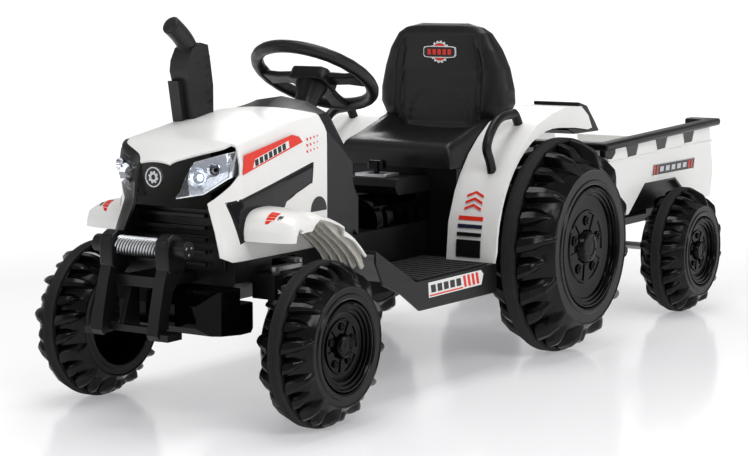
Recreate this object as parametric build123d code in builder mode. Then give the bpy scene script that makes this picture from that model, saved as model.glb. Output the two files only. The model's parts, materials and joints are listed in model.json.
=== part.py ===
from build123d import *
import os
from math import cos, pi, radians, sin

# Battery ride-on toy tractor with a detachable two-wheeled trailer.
# Millimetres. +X is forward, +Y the rider's left, +Z up. The origin is on the ground,
# below the centre of the whole train.

# --- overall places
overall_length = 1360.0
front_overhang = 156.0
wheelbase = 589.0
trailer_wheelbase = 408.0
hitch_behind_axle = 157.0

# --- wheels
front_radius = 100.0
rear_radius = 153.0
front_half_width = 38.0
rear_half_width = 53.0
front_track = 344.0
rear_track = 354.0
trailer_track = 368.0
front_dish_radius = 56.0
rear_dish_radius = 88.0
front_band_half_width = 8.0
rear_band_half_width = 10.0
band_thickness = 5.0
lug_count = 24
dish_depth = 18.0
web_thickness = 8.0
cover_thickness = 10.0

# --- axles and pivots
stub_radius = 5.0
rear_axle_radius = 6.0
trailer_axle_radius = 6.0
kingpin_radius = 6.0
kingpin_half_spacing = 104.0
arm_length = 45.0
link_pin_radius = 4.0
column_radius = 6.0
wheel_turn = 25.0
steering_turn = 40.0
running_gap = 0.05
seat_gap = 0.3
fit_gap = 0.15

# --- steering wheel
steering_back = 234.0
steering_height = 403.0
steering_tilt = 30.8
rim_radius = 79.0
rim_tube = 8.5
hub_radius = 24.0
horn_radius = 13.0
horn_travel = 2.0

# --- shells
shell = 3.0
hood_half_width = 94.0
hood_rear = -128.0
hood_bottom = 198.0
hood_crown = 368.0
mask_bottom = 175.0

# --- chassis
tub_half_width = 88.0
tub_floor = 148.0
tub_front = 58.0
tub_rear = -200.0
tunnel_half_width = 45.0
tunnel_top = 194.0
console_top = 258.0
floor_height = 145.0
floor_front = -218.0
floor_rear = -425.0
skirt_bottom = 105.0
step_half_width = 168.0
rear_tub_bottom = 118.0
rear_tub_top = 190.0
rear_tub_front = -448.0
rear_tub_rear = -700.0
body_half_width = 84.0
seat_base_top = 268.0

# --- rear fender
fender_inner_y = 92.0
fender_outer_y = 170.0
arch_radius = 166.0

# --- front fender
front_fender_inner_y = 95.0
front_fender_outer_y = 160.0

# --- trailer
bed_half_width = 150.0
bed_front_top = -790.0
bed_front_low = -850.0
bed_rear_top = -1180.0
bed_low = 166.0
bed_top_front = 272.0
bed_top_rear = 285.0
bed_wall = 4.0
bed_floor = 170.0
arch_top = 210.0
rail_height = 12.0
rail_width = 22.0
rail_overhang = 10.0
tailgate_half_width = 100.0
tailgate_top = 262.0
tongue_low = 128.0
tongue_high = 140.0
hitch_pin_radius = 6.0

front_axle_x = overall_length / 2 - front_overhang
rear_axle_x = front_axle_x - wheelbase
trailer_axle_x = rear_axle_x - trailer_wheelbase
hitch_x = rear_axle_x - hitch_behind_axle
axle_height = front_radius


def back(distance):
    """X of a place given by its distance ahead (+) or behind (-) the front axle."""
    return front_axle_x + distance


def save(builder, name):
    """Label the piece and write its STEP file."""
    builder.part.label = name
    export_step(builder.part, f"parts/{name}.step")


def mirrored(builder):
    """The same piece on the other side of the vehicle."""
    with BuildPart() as twin:
        mirror(builder.part, about=Plane.XZ)
    return twin


def moved(builder, x, y, z):
    """The same piece carried to a place."""
    with BuildPart() as copy:
        add(builder.part.moved(Location((x, y, z))))
    return copy


def pair(builder):
    """The piece and its mirror image in one node."""
    with BuildPart() as both:
        add(builder.part)
        mirror(builder.part, about=Plane.XZ)
    return both


def slab(points, low_y, high_y):
    """A side-view outline (X, Z) carried from low_y to high_y."""
    with BuildPart() as plate:
        with BuildSketch(Plane.XZ.offset(-high_y)):
            with BuildLine():
                Polyline(*points, close=True)
            make_face()
        extrude(amount=high_y - low_y)
    return plate.part


# ---------------------------------------------------------------- wheels
def lugged_wheel(radius, half_width, dish_radius, band_half, bore):
    """Blown plastic wheel: carcass turned about Y, with a ring of tread lugs on each side."""
    groove = radius - band_thickness
    shoulder = 0.74 * radius
    base = 0.86 * radius
    web_out = half_width - dish_depth
    web_in = web_out - web_thickness
    boss = bore + 8.0
    with BuildPart() as lugs:
        with BuildSketch(Plane.XY):
            with BuildLine():
                Polyline(
                    (shoulder - 6, band_half + 1),
                    (radius - 2, band_half + 1),
                    (radius - 6, 0.55 * half_width),
                    (0.9 * radius, 0.82 * half_width),
                    (shoulder, half_width - 0.5),
                    (shoulder - 6, half_width - 0.5),
                    close=True,
                )
            make_face()
            mirror(about=Plane.XZ)
        revolve(axis=Axis.Y)
        with BuildSketch(Plane.XZ):
            with PolarLocations(0.85 * radius, lug_count):
                Rectangle(0.4 * radius, 0.55 * 2 * pi * radius / lug_count)
        extrude(amount=half_width, both=True, mode=Mode.INTERSECT)
    with BuildPart() as wheel:
        with BuildSketch(Plane.XY):
            with BuildLine():
                Polyline(
                    (bore, web_out + 4),
                    (boss, web_out + 4),
                    (boss, web_out),
                    (dish_radius - 4, web_out),
                    (dish_radius, half_width),
                    (shoulder - 2, half_width),
                    (0.8 * radius, 0.75 * half_width),
                    (base, band_half + 1),
                    (groove, band_half + 1),
                    (groove, -band_half - 1),
                    (base, -band_half - 1),
                    (0.8 * radius, -0.75 * half_width),
                    (shoulder - 2, -half_width),
                    (dish_radius, -half_width),
                    (dish_radius - 4, web_in),
                    (boss, web_in),
                    (boss, -half_width + 4),
                    (bore, -half_width + 4),
                    close=True,
                )
            make_face()
        revolve(axis=Axis.Y)
        add(lugs.part)
    return wheel


def tread_band(radius, band_half):
    """Rubber traction ring seated in the groove round the middle of the wheel."""
    with BuildPart() as band:
        with BuildSketch(Plane.XY):
            with Locations((radius - band_thickness / 2 + fit_gap / 2, 0)):
                Rectangle(band_thickness - fit_gap, 2 * band_half)
        revolve(axis=Axis.Y)
    return band


def hub_cover(half_width, dish_radius):
    """Turned cover that clips into the outer dish, with a domed middle and six bosses."""
    floor = half_width - dish_depth + 4 + fit_gap
    outer = dish_radius - 4 - fit_gap
    middle = 0.34 * dish_radius
    inner_recess = stub_radius + 9.0
    with BuildPart() as cover:
        with BuildSketch(Plane.XY):
            with BuildLine():
                Polyline(
                    (0, floor + 8),
                    (inner_recess, floor + 8),
                    (inner_recess, floor),
                    (outer, floor),
                    (outer, floor + 5),
                    (outer - 7, floor + cover_thickness),
                    (outer - 12, floor + 4),
                    (middle + 4, floor + 4),
                    (middle, floor + cover_thickness),
                    (0, floor + cover_thickness + 1.5),
                    close=True,
                )
            make_face()
        revolve(axis=Axis.Y)
        with BuildSketch(Plane.XZ.offset(-floor - 8)):
            with PolarLocations((middle + outer - 8) / 2, 6):
                Circle(0.07 * dish_radius)
        extrude(amount=6)
    return cover


wheel_types = {
    "front": (front_radius, front_half_width, front_dish_radius, front_band_half_width, stub_radius),
    "rear": (rear_radius, rear_half_width, rear_dish_radius, rear_band_half_width, rear_axle_radius),
    "trailer": (front_radius, front_half_width, front_dish_radius, front_band_half_width,
                trailer_axle_radius),
}
wheel_places = {
    "front": (front_axle_x, front_track / 2),
    "rear": (rear_axle_x, rear_track / 2),
    "trailer": (trailer_axle_x, trailer_track / 2),
}
for place, (radius, half_width, dish_radius, band_half, axle_radius) in wheel_types.items():
    x, y = wheel_places[place]
    wheel_left = moved(
        lugged_wheel(radius, half_width, dish_radius, band_half, axle_radius + running_gap), x, y, radius
    )
    band_left = moved(tread_band(radius, band_half), x, y, radius)
    cover_left = moved(hub_cover(half_width, dish_radius), x, y, radius)
    for piece, name in ((wheel_left, "wheel"), (band_left, "band"), (cover_left, "cover")):
        save(piece, f"{place}_{name}_left")
        save(mirrored(piece), f"{place}_{name}_right")

# ---------------------------------------------------------------- steering geometry
tilt = radians(steering_tilt)
axis_x, axis_z = -sin(tilt), cos(tilt)
crank_radius = arm_length * sin(radians(wheel_turn)) / sin(radians(steering_turn))
wing_low = 150.0
wing_high = 180.0
wing_half_length = 20.0
wing_end = kingpin_half_spacing + 14.0
arm_low = wing_high + 2.0
arm_high = arm_low + 5.0
link_low = arm_high + 0.5
link_high = link_low + 5.0
crank_height = (link_low + link_high) / 2 + crank_radius * sin(tilt)
column_low_x = -steering_back - axis_x * (steering_height - crank_height) / axis_z
crank_pin_x = column_low_x - crank_radius * cos(tilt)


def column_x(height):
    """Distance of the steering axis ahead of the front axle at a height."""
    return -steering_back - axis_x * (steering_height - height) / axis_z


def column_plane(height):
    """Plane across the steering axis at a height, its local X pointing forward and up."""
    foot = (back(column_x(height)), 0, height)
    return Plane(origin=foot, x_dir=(axis_z, 0, -axis_x), z_dir=(axis_x, 0, axis_z))


# ---------------------------------------------------------------- chassis
bearing_height = 235.0
bearing_block = 16.0
bearing_half_length = 14.0
floor_skin = 4.0
flange = 3.0
belly_half_width = 70.0
chine_height = 172.0
window_front = -16.0
window_rear = -64.0
clevis_width = 30.0
clevis_plate = 7.7
neck_half_width = 30.0
console_half_width = 48.0
console_front = -355.0
console_low = 236.0
pedal_y = -110.0
pedal_pivot = (-292.0, 153.0)
pedal_pin_radius = 3.0
pedal_half_width = 24.0
lever_pivot = (-384.0, 249.0)
lever_pin_radius = 3.0


def channel(grow, top):
    """Cross-section of the front tub, drawn in by grow, up to a height."""
    half = tub_half_width - grow
    belly = belly_half_width - grow / 3
    low = tub_floor + grow
    chine = chine_height + grow / 2
    return [(-half, top), (-half, chine), (-belly, low), (belly, low), (half, chine), (half, top)]


def footboard():
    """Both footboards: floor plates with ramps up to the front fenders and outer skirts."""
    outline = [
        (back(floor_rear), floor_height),
        (back(floor_front), floor_height),
        (back(-123), 196),
        (back(-123), 180),
        (back(-140), 151),
        (back(-182), 134),
        (back(-226), skirt_bottom + 2),
        (back(floor_rear), skirt_bottom),
    ]
    hollow = [
        (back(floor_rear + shell), floor_height - floor_skin),
        (back(floor_front + 1), floor_height - floor_skin),
        (back(-118), 194),
        (back(-118), skirt_bottom - 5),
        (back(floor_rear + shell), skirt_bottom - 5),
    ]
    with BuildPart() as boards:
        for side in (1, -1):
            low, high = sorted((side * (tunnel_half_width - shell), side * step_half_width))
            add(slab(outline, low, high))
            low, high = sorted((side * tunnel_half_width, side * (step_half_width - shell)))
            add(slab(hollow, low, high), mode=Mode.SUBTRACT)
        with BuildSketch(Plane.XY.offset(skirt_bottom - 5)):
            with Locations((back(tub_rear / 2), 0)):
                Rectangle(-tub_rear, 2 * (tub_half_width - 1))
        extrude(amount=120, mode=Mode.SUBTRACT)
        with BuildSketch(Plane.XY.offset(floor_height - floor_skin)):
            with Locations((back((floor_rear + rear_tub_front) / 2), 0)):
                Rectangle(floor_rear - rear_tub_front + 2, 2 * body_half_width)
        extrude(amount=floor_skin)
    return boards.part


with BuildPart() as chassis:
    # front tub: a channel under the hood with chamfered belly and a top flange
    with BuildSketch(Plane.YZ.offset(back(tub_rear))):
        with BuildLine():
            Polyline(*channel(0, hood_bottom - seat_gap), close=True)
        make_face()
    extrude(amount=tub_front - tub_rear)
    with BuildSketch(Plane.YZ.offset(back(tub_rear) + shell)):
        with BuildLine():
            Polyline(*channel(shell, hood_bottom + 1), close=True)
        make_face()
    extrude(amount=tub_front - tub_rear - 2 * shell, mode=Mode.SUBTRACT)
    with BuildSketch(Plane.XY.offset(hood_bottom - seat_gap - flange)):
        for side in (1, -1):
            flange_middle = (tub_half_width + hood_half_width - 1) / 2
            with Locations((back((tub_front + hood_rear) / 2), side * flange_middle)):
                Rectangle(tub_front - hood_rear, hood_half_width - tub_half_width + 1)
    extrude(amount=flange)
    # kingpin wings, and the windows the steering link passes through
    with BuildSketch(Plane.XY.offset(wing_low)):
        for side in (1, -1):
            with Locations((back(0), side * (tub_half_width - shell + wing_end) / 2)):
                Rectangle(2 * wing_half_length, wing_end - tub_half_width + shell)
    extrude(amount=wing_high - wing_low)
    with BuildSketch(Plane.XY.offset(wing_high + 0.5)):
        with Locations((back((window_front + window_rear) / 2), 0)):
            Rectangle(window_front - window_rear, 2 * tub_half_width + 2)
    extrude(amount=hood_bottom - seat_gap - flange - wing_high - 0.5, mode=Mode.SUBTRACT)
    # portal that carries the lower bearing of the steering column
    with BuildSketch(Plane.XY.offset(tub_floor)):
        with Locations((back(column_x(bearing_height)), 0)):
            Rectangle(2 * bearing_half_length, 2 * 66)
            Rectangle(2 * bearing_half_length, 2 * 58, mode=Mode.SUBTRACT)
    extrude(amount=bearing_height + bearing_block / 2 - tub_floor)
    with BuildSketch(Plane.XY.offset(bearing_height - bearing_block / 2)):
        with Locations((back(column_x(bearing_height)), 0)):
            Rectangle(2 * bearing_half_length, 2 * 66)
    extrude(amount=bearing_block)
    # centre tunnel
    with BuildSketch(Plane.YZ.offset(back(rear_tub_front))):
        with Locations((0, (floor_height - floor_skin + tunnel_top) / 2)):
            Rectangle(2 * tunnel_half_width, tunnel_top - floor_height + floor_skin)
        with Locations((0, (floor_height - floor_skin + tunnel_top - shell) / 2 - 1)):
            Rectangle(2 * (tunnel_half_width - shell), tunnel_top - shell - floor_height + floor_skin + 2,
                      mode=Mode.SUBTRACT)
    extrude(amount=tub_rear - rear_tub_front)
    # neck and console ahead of the seat
    with BuildSketch(Plane.XY.offset(tunnel_top - shell)):
        with Locations((back(rear_tub_front + 5), 0)):
            Rectangle(10, 2 * neck_half_width)
    extrude(amount=console_low - tunnel_top + shell + 1)
    add(slab(
        [
            (back(rear_tub_front), console_low),
            (back(rear_tub_front), console_top),
            (back(console_front - 6), console_top),
            (back(console_front), console_top - 10),
            (back(console_front - 8), console_low),
        ],
        -console_half_width,
        console_half_width,
    ))
    add(slab(
        [
            (back(rear_tub_front + shell), console_low - 1),
            (back(rear_tub_front + shell), console_top - shell),
            (back(console_front - 10), console_top - shell),
            (back(console_front - 12), console_low - 1),
        ],
        shell - console_half_width,
        console_half_width - shell,
    ), mode=Mode.SUBTRACT)
    with BuildSketch(Plane.XY.offset(console_low - 1)):
        with Locations((back(rear_tub_front + 5), 0)):
            Rectangle(10, 2 * neck_half_width)
    extrude(amount=shell)
    with BuildSketch(Plane.XY.offset(console_top - shell - 1)):
        with Locations((back(lever_pivot[0]), 0)):
            Rectangle(26, 14)
    extrude(amount=shell + 2, mode=Mode.SUBTRACT)
    with BuildSketch(Plane.XY.offset(lever_pivot[1] - 6)):
        for side in (1, -1):
            with Locations((back(lever_pivot[0]), side * 11)):
                Rectangle(12, 5)
    extrude(amount=console_top - shell - lever_pivot[1] + 6)
    with BuildSketch(Plane.XZ.offset(-20)):
        with Locations((back(lever_pivot[0]), lever_pivot[1])):
            Circle(lever_pin_radius + running_gap)
    extrude(amount=40, mode=Mode.SUBTRACT)
    add(footboard())
    # lugs of the pedal
    with BuildSketch(Plane.XZ.offset(-pedal_y - pedal_half_width - 6)):
        with Locations((back(pedal_pivot[0]), (pedal_pivot[1] + floor_height - 1) / 2)):
            Rectangle(12, pedal_pivot[1] - floor_height + 1)
        with Locations((back(pedal_pivot[0]), pedal_pivot[1])):
            Circle(6)
    extrude(amount=5)
    with BuildSketch(Plane.XZ.offset(-pedal_y + pedal_half_width + 1)):
        with Locations((back(pedal_pivot[0]), (pedal_pivot[1] + floor_height - 1) / 2)):
            Rectangle(12, pedal_pivot[1] - floor_height + 1)
        with Locations((back(pedal_pivot[0]), pedal_pivot[1])):
            Circle(6)
    extrude(amount=5)
    with BuildSketch(Plane.XZ.offset(-pedal_y - pedal_half_width - 7)):
        with Locations((back(pedal_pivot[0]), pedal_pivot[1])):
            Circle(pedal_pin_radius + running_gap)
    extrude(amount=2 * pedal_half_width + 14, mode=Mode.SUBTRACT)
    # rear tub between the back wheels
    with BuildSketch(Plane.XY.offset(rear_tub_bottom)):
        with Locations((back((rear_tub_front + rear_tub_rear) / 2), 0)):
            Rectangle(rear_tub_front - rear_tub_rear, 2 * body_half_width)
    extrude(amount=rear_tub_top - rear_tub_bottom)
    with BuildSketch(Plane.XY.offset(rear_tub_bottom + shell)):
        with Locations((back((rear_tub_front + rear_tub_rear) / 2), 0)):
            Rectangle(rear_tub_front - rear_tub_rear - 2 * shell, 2 * (body_half_width - shell))
    extrude(amount=rear_tub_top - rear_tub_bottom, mode=Mode.SUBTRACT)
    # clevis that takes the trailer tongue
    for low in (tongue_low - seat_gap - clevis_plate, tongue_high + seat_gap):
        with BuildSketch(Plane.XY.offset(low)):
            with Locations(((back(rear_tub_rear) + shell + hitch_x) / 2, 0)):
                Rectangle(back(rear_tub_rear) + shell - hitch_x, clevis_width)
            with Locations((hitch_x, 0)):
                Circle(clevis_width / 2)
                Circle(hitch_pin_radius + fit_gap, mode=Mode.SUBTRACT)
        extrude(amount=clevis_plate)
    # bores of the kingpins, the rear axle and the column
    with BuildSketch(Plane.XY.offset(wing_low - 1)):
        for side in (1, -1):
            with Locations((back(0), side * kingpin_half_spacing)):
                Circle(kingpin_radius + running_gap)
    extrude(amount=wing_high - wing_low + 2, mode=Mode.SUBTRACT)
    with BuildSketch(Plane.XZ.offset(-body_half_width - 1)):
        with Locations((rear_axle_x, rear_radius)):
            Circle(rear_axle_radius + fit_gap)
    extrude(amount=2 * body_half_width + 2, mode=Mode.SUBTRACT)
    with BuildSketch(column_plane(bearing_height)):
        Circle(column_radius + running_gap)
    extrude(amount=bearing_block, both=True, mode=Mode.SUBTRACT)
save(chassis, "chassis")

# foot mats with ribs, the right one cut round the pedal
mat_thickness = 2.0
mat_rib = 1.2
with BuildPart() as foot_mats:
    with BuildSketch(Plane.XY.offset(floor_height + seat_gap / 2)):
        for side in (1, -1):
            with Locations((back((floor_front + floor_rear) / 2 - 3), side * 107)):
                Rectangle(floor_front - floor_rear - 16, 112)
    extrude(amount=mat_thickness)
    with BuildSketch(Plane.XY.offset(floor_height + seat_gap / 2 + mat_thickness)):
        for side in (1, -1):
            with Locations((back((floor_front + floor_rear) / 2 - 3), side * 107)):
                with GridLocations(16, 0, 12, 1):
                    Rectangle(7, 104)
    extrude(amount=mat_rib)
    with BuildSketch(Plane.XY.offset(floor_height)):
        with Locations((back(pedal_pivot[0] + 26), pedal_y)):
            Rectangle(76, 2 * pedal_half_width + 18)
    extrude(amount=10, mode=Mode.SUBTRACT)
    with BuildSketch(Plane.XY.offset(floor_height)):
        for side in (1, -1):
            with Locations((back(floor_rear + 2), side * 131)):
                Rectangle(30, 80)
    extrude(amount=10, mode=Mode.SUBTRACT)
save(foot_mats, "foot_mats")

# ---------------------------------------------------------------- nose and hood
lamp_outline = [(31, 274), (45, 314), (84, 326), (82, 298), (58, 279)]
mask_outline = [
    (104, mask_bottom - 10),
    (104, 321),
    (78, 321),
    (61, 336),
    (46, 340),
    (46, 298),
    (77, 266),
    (81, 207),
    (62, 196),
    (62, mask_bottom - 10),
]
# half cross-sections from the belly up, front to back: (distance ahead of the axle, [(y, z)...])
nose_sections = [
    (97, [(62, 205), (48, 228), (32, 266), (30, 290), (24, 312), (0, 316)]),
    (91, [(72, 205), (58, 235), (34, 268), (33, 295), (28, 317), (0, 320)]),
    (78, [(86, 205), (76, 235), (62, 267), (60, 300), (42, 321), (0, 326)]),
    (61, [(91, 205), (86, 235), (81, 268), (84, 308), (80, 331), (0, 335)]),
    (48, [(93, 205), (92, 235), (91, 268), (92, 312), (86, 336), (0, 340)]),
    (-10, [(93, 205), (93, 235), (93, 268), (93, 325), (82, 346), (0, 353)]),
    (-70, [(93, 205), (93, 235), (93, 268), (93, 334), (81, 357), (0, 364)]),
    (hood_rear, [(93, 205), (93, 235), (93, 268), (93, 341), (78, 362), (0, hood_crown)]),
]


def cross_section(distance, half, bottom, inset):
    """Face across the body: a mirrored half outline drawn in by inset, standing on a level base."""
    drawn_in = [(max(y - inset, 0), z - (0.4 * inset if z < 300 else inset)) for y, z in half]
    outline = [(drawn_in[0][0], bottom), *drawn_in]
    outline += [(-y, z) for y, z in reversed(outline[:-1])]
    with BuildSketch(Plane.YZ.offset(back(distance))) as section:
        with BuildLine():
            Polyline(*outline, close=True)
        make_face()
    return section.sketch.face()


def envelope(sections, bottom, inset, rear_extra):
    """Body skin lofted from section to section, each drawn in by inset."""
    faces = []
    for distance, half in sections:
        shift = -inset if distance > 90 else 0
        if distance == sections[-1][0]:
            shift = -rear_extra
        faces.append(cross_section(distance + shift, half, bottom, inset))
    with BuildPart() as body:
        for ahead, behind in zip(faces, faces[1:]):
            loft(sections=[ahead, behind], ruled=True)
    return body.part


outer_skin = envelope(nose_sections, mask_bottom, 0, 0)
inner_skin = envelope(nose_sections, mask_bottom - 5, shell, 1)


def lamp_prism(grow):
    """Prism along X through both headlights, with its outline grown outwards."""
    with BuildPart() as prism:
        with BuildSketch(Plane.YZ.offset(back(44))):
            with BuildLine():
                Polyline(*lamp_outline, close=True)
            make_face()
            if grow:
                offset(amount=grow, kind=Kind.INTERSECTION)
            mirror(about=Plane.YZ)
        extrude(amount=70)
    return prism.part


window_outline = [(69, 263), (53, 221), (-30, 249), (-40, 264), (-91, 282), (-94, 301)]
window_depth = 1.6

with BuildPart() as mask:
    add(outer_skin)
    add(inner_skin, mode=Mode.SUBTRACT)
    add(slab([(back(a), z) for a, z in mask_outline], -110, 110), mode=Mode.INTERSECT)
    add(lamp_prism(0), mode=Mode.SUBTRACT)
    with BuildSketch(Plane.YZ.offset(back(62))):
        with BuildLine():
            Polyline(
                (-66, mask_bottom - 6), (-64, 203), (-50, 244), (-42, 252),
                (42, 252), (50, 244), (64, 203), (66, mask_bottom - 6), close=True,
            )
        make_face()
    extrude(amount=50, mode=Mode.SUBTRACT)
save(mask, "nose_mask")

with BuildPart() as hood:
    add(outer_skin)
    add(inner_skin, mode=Mode.SUBTRACT)
    add(slab([(back(a), z) for a, z in mask_outline], -110, 110), mode=Mode.SUBTRACT)
    with BuildSketch(Plane.XY.offset(mask_bottom - 10)):
        with Locations((back(-20), 0)):
            Rectangle(260, 240)
    extrude(amount=hood_bottom - mask_bottom + 10, mode=Mode.SUBTRACT)
    for low, high in ((hood_half_width - window_depth, 100), (-100, window_depth - hood_half_width)):
        add(slab([(back(a), z) for a, z in window_outline], low, high), mode=Mode.SUBTRACT)
save(hood, "hood")

with BuildPart() as windows:
    for low, high in (
        (hood_half_width - window_depth, hood_half_width),
        (-hood_half_width, window_depth - hood_half_width),
    ):
        add(slab([(back(a), z) for a, z in window_outline if a < 60] + [(back(58), 236)], low, high))
    add(outer_skin, mode=Mode.INTERSECT)
save(windows, "hood_windows")

with BuildPart() as lenses:
    add(outer_skin)
    add(inner_skin, mode=Mode.SUBTRACT)
    add(lamp_prism(0), mode=Mode.INTERSECT)
save(lenses, "headlight_lenses")

reflector_depth = 12.0
with BuildPart() as reflectors:
    add(inner_skin)
    add(inner_skin.moved(Location((-reflector_depth, 0, 0))), mode=Mode.SUBTRACT)
    add(lamp_prism(1.5), mode=Mode.INTERSECT)
save(reflectors, "headlight_reflectors")

grille_low = 186.0
grille_high = 258.0
grille_plate = 3.0
slat_count = 5
slat_depth = 8.0
with BuildPart() as grille:
    with BuildSketch(Plane.YZ.offset(back(tub_front) + seat_gap / 2)):
        with Locations((0, (grille_low + grille_high) / 2)):
            Rectangle(2 * 76, grille_high - grille_low)
    extrude(amount=grille_plate)
    with BuildSketch(Plane.YZ.offset(back(tub_front) + seat_gap / 2 + grille_plate)):
        with Locations((0, (grille_low + grille_high) / 2)):
            with GridLocations(0, (grille_high - grille_low) / slat_count, 1, slat_count):
                Rectangle(104, 5)
    extrude(amount=slat_depth)
save(grille, "grille")

# ---------------------------------------------------------------- dash cowl
cowl_bottom = 203.0
cowl_sections = [
    (hood_rear - seat_gap / 2, [(93, 215), (93, 255), (93, 340), (78, 361), (40, 366), (0, hood_crown)]),
    (-160, [(93, 215), (93, 255), (93, 317), (70, 361), (40, 374), (0, 380)]),
    (-184, [(93, 215), (93, 255), (93, 297), (60, 352), (35, 362), (0, 366)]),
    (-197, [(93, 215), (93, 252), (88, 262), (56, 330), (32, 342), (0, 345)]),
]
with BuildPart() as cowl:
    add(envelope(cowl_sections, cowl_bottom, 0, 0))
    add(envelope(cowl_sections, cowl_bottom - 5, shell, -shell), mode=Mode.SUBTRACT)
    with BuildSketch(Plane.YZ.offset(back(hood_rear) - 2)):
        with BuildLine():
            Polyline((-90, 190), (-90, 339), (-75, 358), (75, 358), (90, 339), (90, 190), close=True)
        make_face()
    extrude(amount=5, mode=Mode.SUBTRACT)
    with BuildSketch(column_plane(bearing_height)):
        Circle(column_radius + 6)
    extrude(amount=200, mode=Mode.SUBTRACT)
    with BuildSketch(Plane.XY.offset(cowl_bottom - 1)):
        with Locations((back(-190), 0)):
            Rectangle(30, 2 * (tunnel_half_width + 1))
    extrude(amount=12, mode=Mode.SUBTRACT)
save(cowl, "dash_cowl")

# ---------------------------------------------------------------- fenders
front_fender_outline = [
    (46, 222), (46, 236), (40, 250), (27, 258), (4, 259), (-16, 256), (-46, 247), (-78, 232),
    (-104, 213), (-120, 198), (-113, 195), (-98, 207), (-75, 224), (-45, 238), (-16, 245),
    (-8, 239), (7, 234), (27, 231),
]
liner_outline = [
    (-30, 243), (-46, 239), (-76, 225), (-98, 208.5), (-113, 195.5), (-123, 176),
    (-117, 173), (-104, 190), (-84, 207), (-60, 222),
]
liner_outer_y = 150.0
with BuildPart() as front_fender:
    crown = [(back(a), z) for a, z in front_fender_outline]
    add(slab(crown, hood_half_width + fit_gap, front_fender_outer_y))
    add(slab([(back(a), z) for a, z in liner_outline], front_fender_inner_y, liner_outer_y))
save(front_fender, "front_fender_left")
save(mirrored(front_fender), "front_fender_right")

rear_outline = [
    (172, -3), (172, 15), (172, 30), (172.5, 38), (175, 50), (178, 61), (183, 72), (188, 86),
    (195, 97), (200, 104),
]
rear_lip = [(-668, 346), (-690, 332), (-703, 313), (-690, 311), (-648, 316)]
tail_outline = [
    (-664, 352), (-690, 346), (-716, 322), (-731, 306.5), (-632, 306.5), (-632, 320), (-664, 330),
]


def rear_polar(radius, angle):
    """Place at a radius from the rear axle, the angle measured up from straight ahead."""
    return (rear_axle_x + radius * cos(radians(angle)), rear_radius + radius * sin(radians(angle)))


crescent = [rear_polar(radius, angle) for radius, angle in rear_outline]
crescent += [(back(a), z) for a, z in rear_lip]
crescent += [rear_polar(arch_radius, angle) for angle in range(93, -5, -7)]
with BuildPart() as rear_fender:
    add(slab(crescent, fender_inner_y, fender_outer_y))
    with BuildSketch(Plane.XY.offset(floor_height + fit_gap - 80)):
        with Locations((rear_axle_x + arch_radius, (fender_inner_y + fender_outer_y) / 2)):
            Rectangle(120, 100)
    extrude(amount=80, mode=Mode.SUBTRACT)
save(rear_fender, "rear_fender_left")
save(mirrored(rear_fender), "rear_fender_right")

with BuildPart() as tail:
    add(slab([(back(a), z) for a, z in tail_outline], fender_inner_y + 1, fender_outer_y - 2))
    add(slab(crescent, fender_inner_y - 5, fender_outer_y + 5), mode=Mode.SUBTRACT)
    with BuildSketch(Plane.XZ.offset(-fender_outer_y)):
        with Locations((rear_axle_x, rear_radius)):
            Circle(arch_radius)
    extrude(amount=fender_outer_y, mode=Mode.SUBTRACT)
save(pair(tail), "fender_tails")

# grab handles: a bent bar standing on each rear fender
handle_radius = 6.5
handle_y = 139.0
with BuildPart() as handle:
    foot_low = rear_polar(170, 41)
    foot_high = rear_polar(178, 73)
    with BuildLine():
        grip = Spline(
            (foot_low[0], handle_y, foot_low[1]),
            (back(-446), handle_y, 301),
            (back(-461), handle_y, 325),
            (back(-489), handle_y, 340),
            (back(-515), handle_y, 342),
            (foot_high[0], handle_y, foot_high[1]),
            tangents=((0.2, 0, 1), (-0.6, 0, -1)),
        )
    with BuildSketch(Plane(origin=grip @ 0, z_dir=grip % 0)):
        Circle(handle_radius)
    sweep()
    add(slab(crescent, handle_y - 20, handle_y + 20), mode=Mode.SUBTRACT)
    with BuildSketch(Plane.XZ.offset(-handle_y - 20)):
        with Locations((rear_axle_x, rear_radius)):
            Circle(arch_radius)
    extrude(amount=40, mode=Mode.SUBTRACT)
save(pair(handle), "grab_handles")

# ---------------------------------------------------------------- seat
apron_x = rear_tub_front + fit_gap
seat_shelf = 4.0
with BuildPart() as seat_base:
    with BuildSketch(Plane.XY.offset(rear_tub_top + fit_gap)):
        with Locations((back((apron_x + shell + rear_tub_rear) / 2), 0)):
            Rectangle(apron_x + shell - rear_tub_rear, 2 * (fender_inner_y - fit_gap))
    extrude(amount=seat_base_top - rear_tub_top - fit_gap)
    with BuildSketch(Plane.XY.offset(rear_tub_top)):
        with Locations((back((apron_x + rear_tub_rear) / 2), 0)):
            Rectangle(apron_x - rear_tub_rear - 2 * shell, 2 * (body_half_width - shell))
    extrude(amount=seat_base_top - rear_tub_top - seat_shelf, mode=Mode.SUBTRACT)
    with BuildSketch(Plane.XY.offset(floor_height + fit_gap)):
        for side in (1, -1):
            with Locations((back(apron_x + shell / 2), side * (tunnel_half_width + fender_inner_y) / 2)):
                Rectangle(shell, fender_inner_y - tunnel_half_width - 2 * fit_gap)
    extrude(amount=seat_base_top - floor_height - fit_gap)
    with BuildSketch(Plane.XY.offset(tunnel_top - 5)):
        with Locations((back(rear_tub_front + 10), 0)):
            Rectangle(20 + 2 * fit_gap, 2 * (console_half_width + fit_gap))
    extrude(amount=console_top - tunnel_top + 5 + fit_gap, mode=Mode.SUBTRACT)
save(seat_base, "seat_base")

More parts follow.
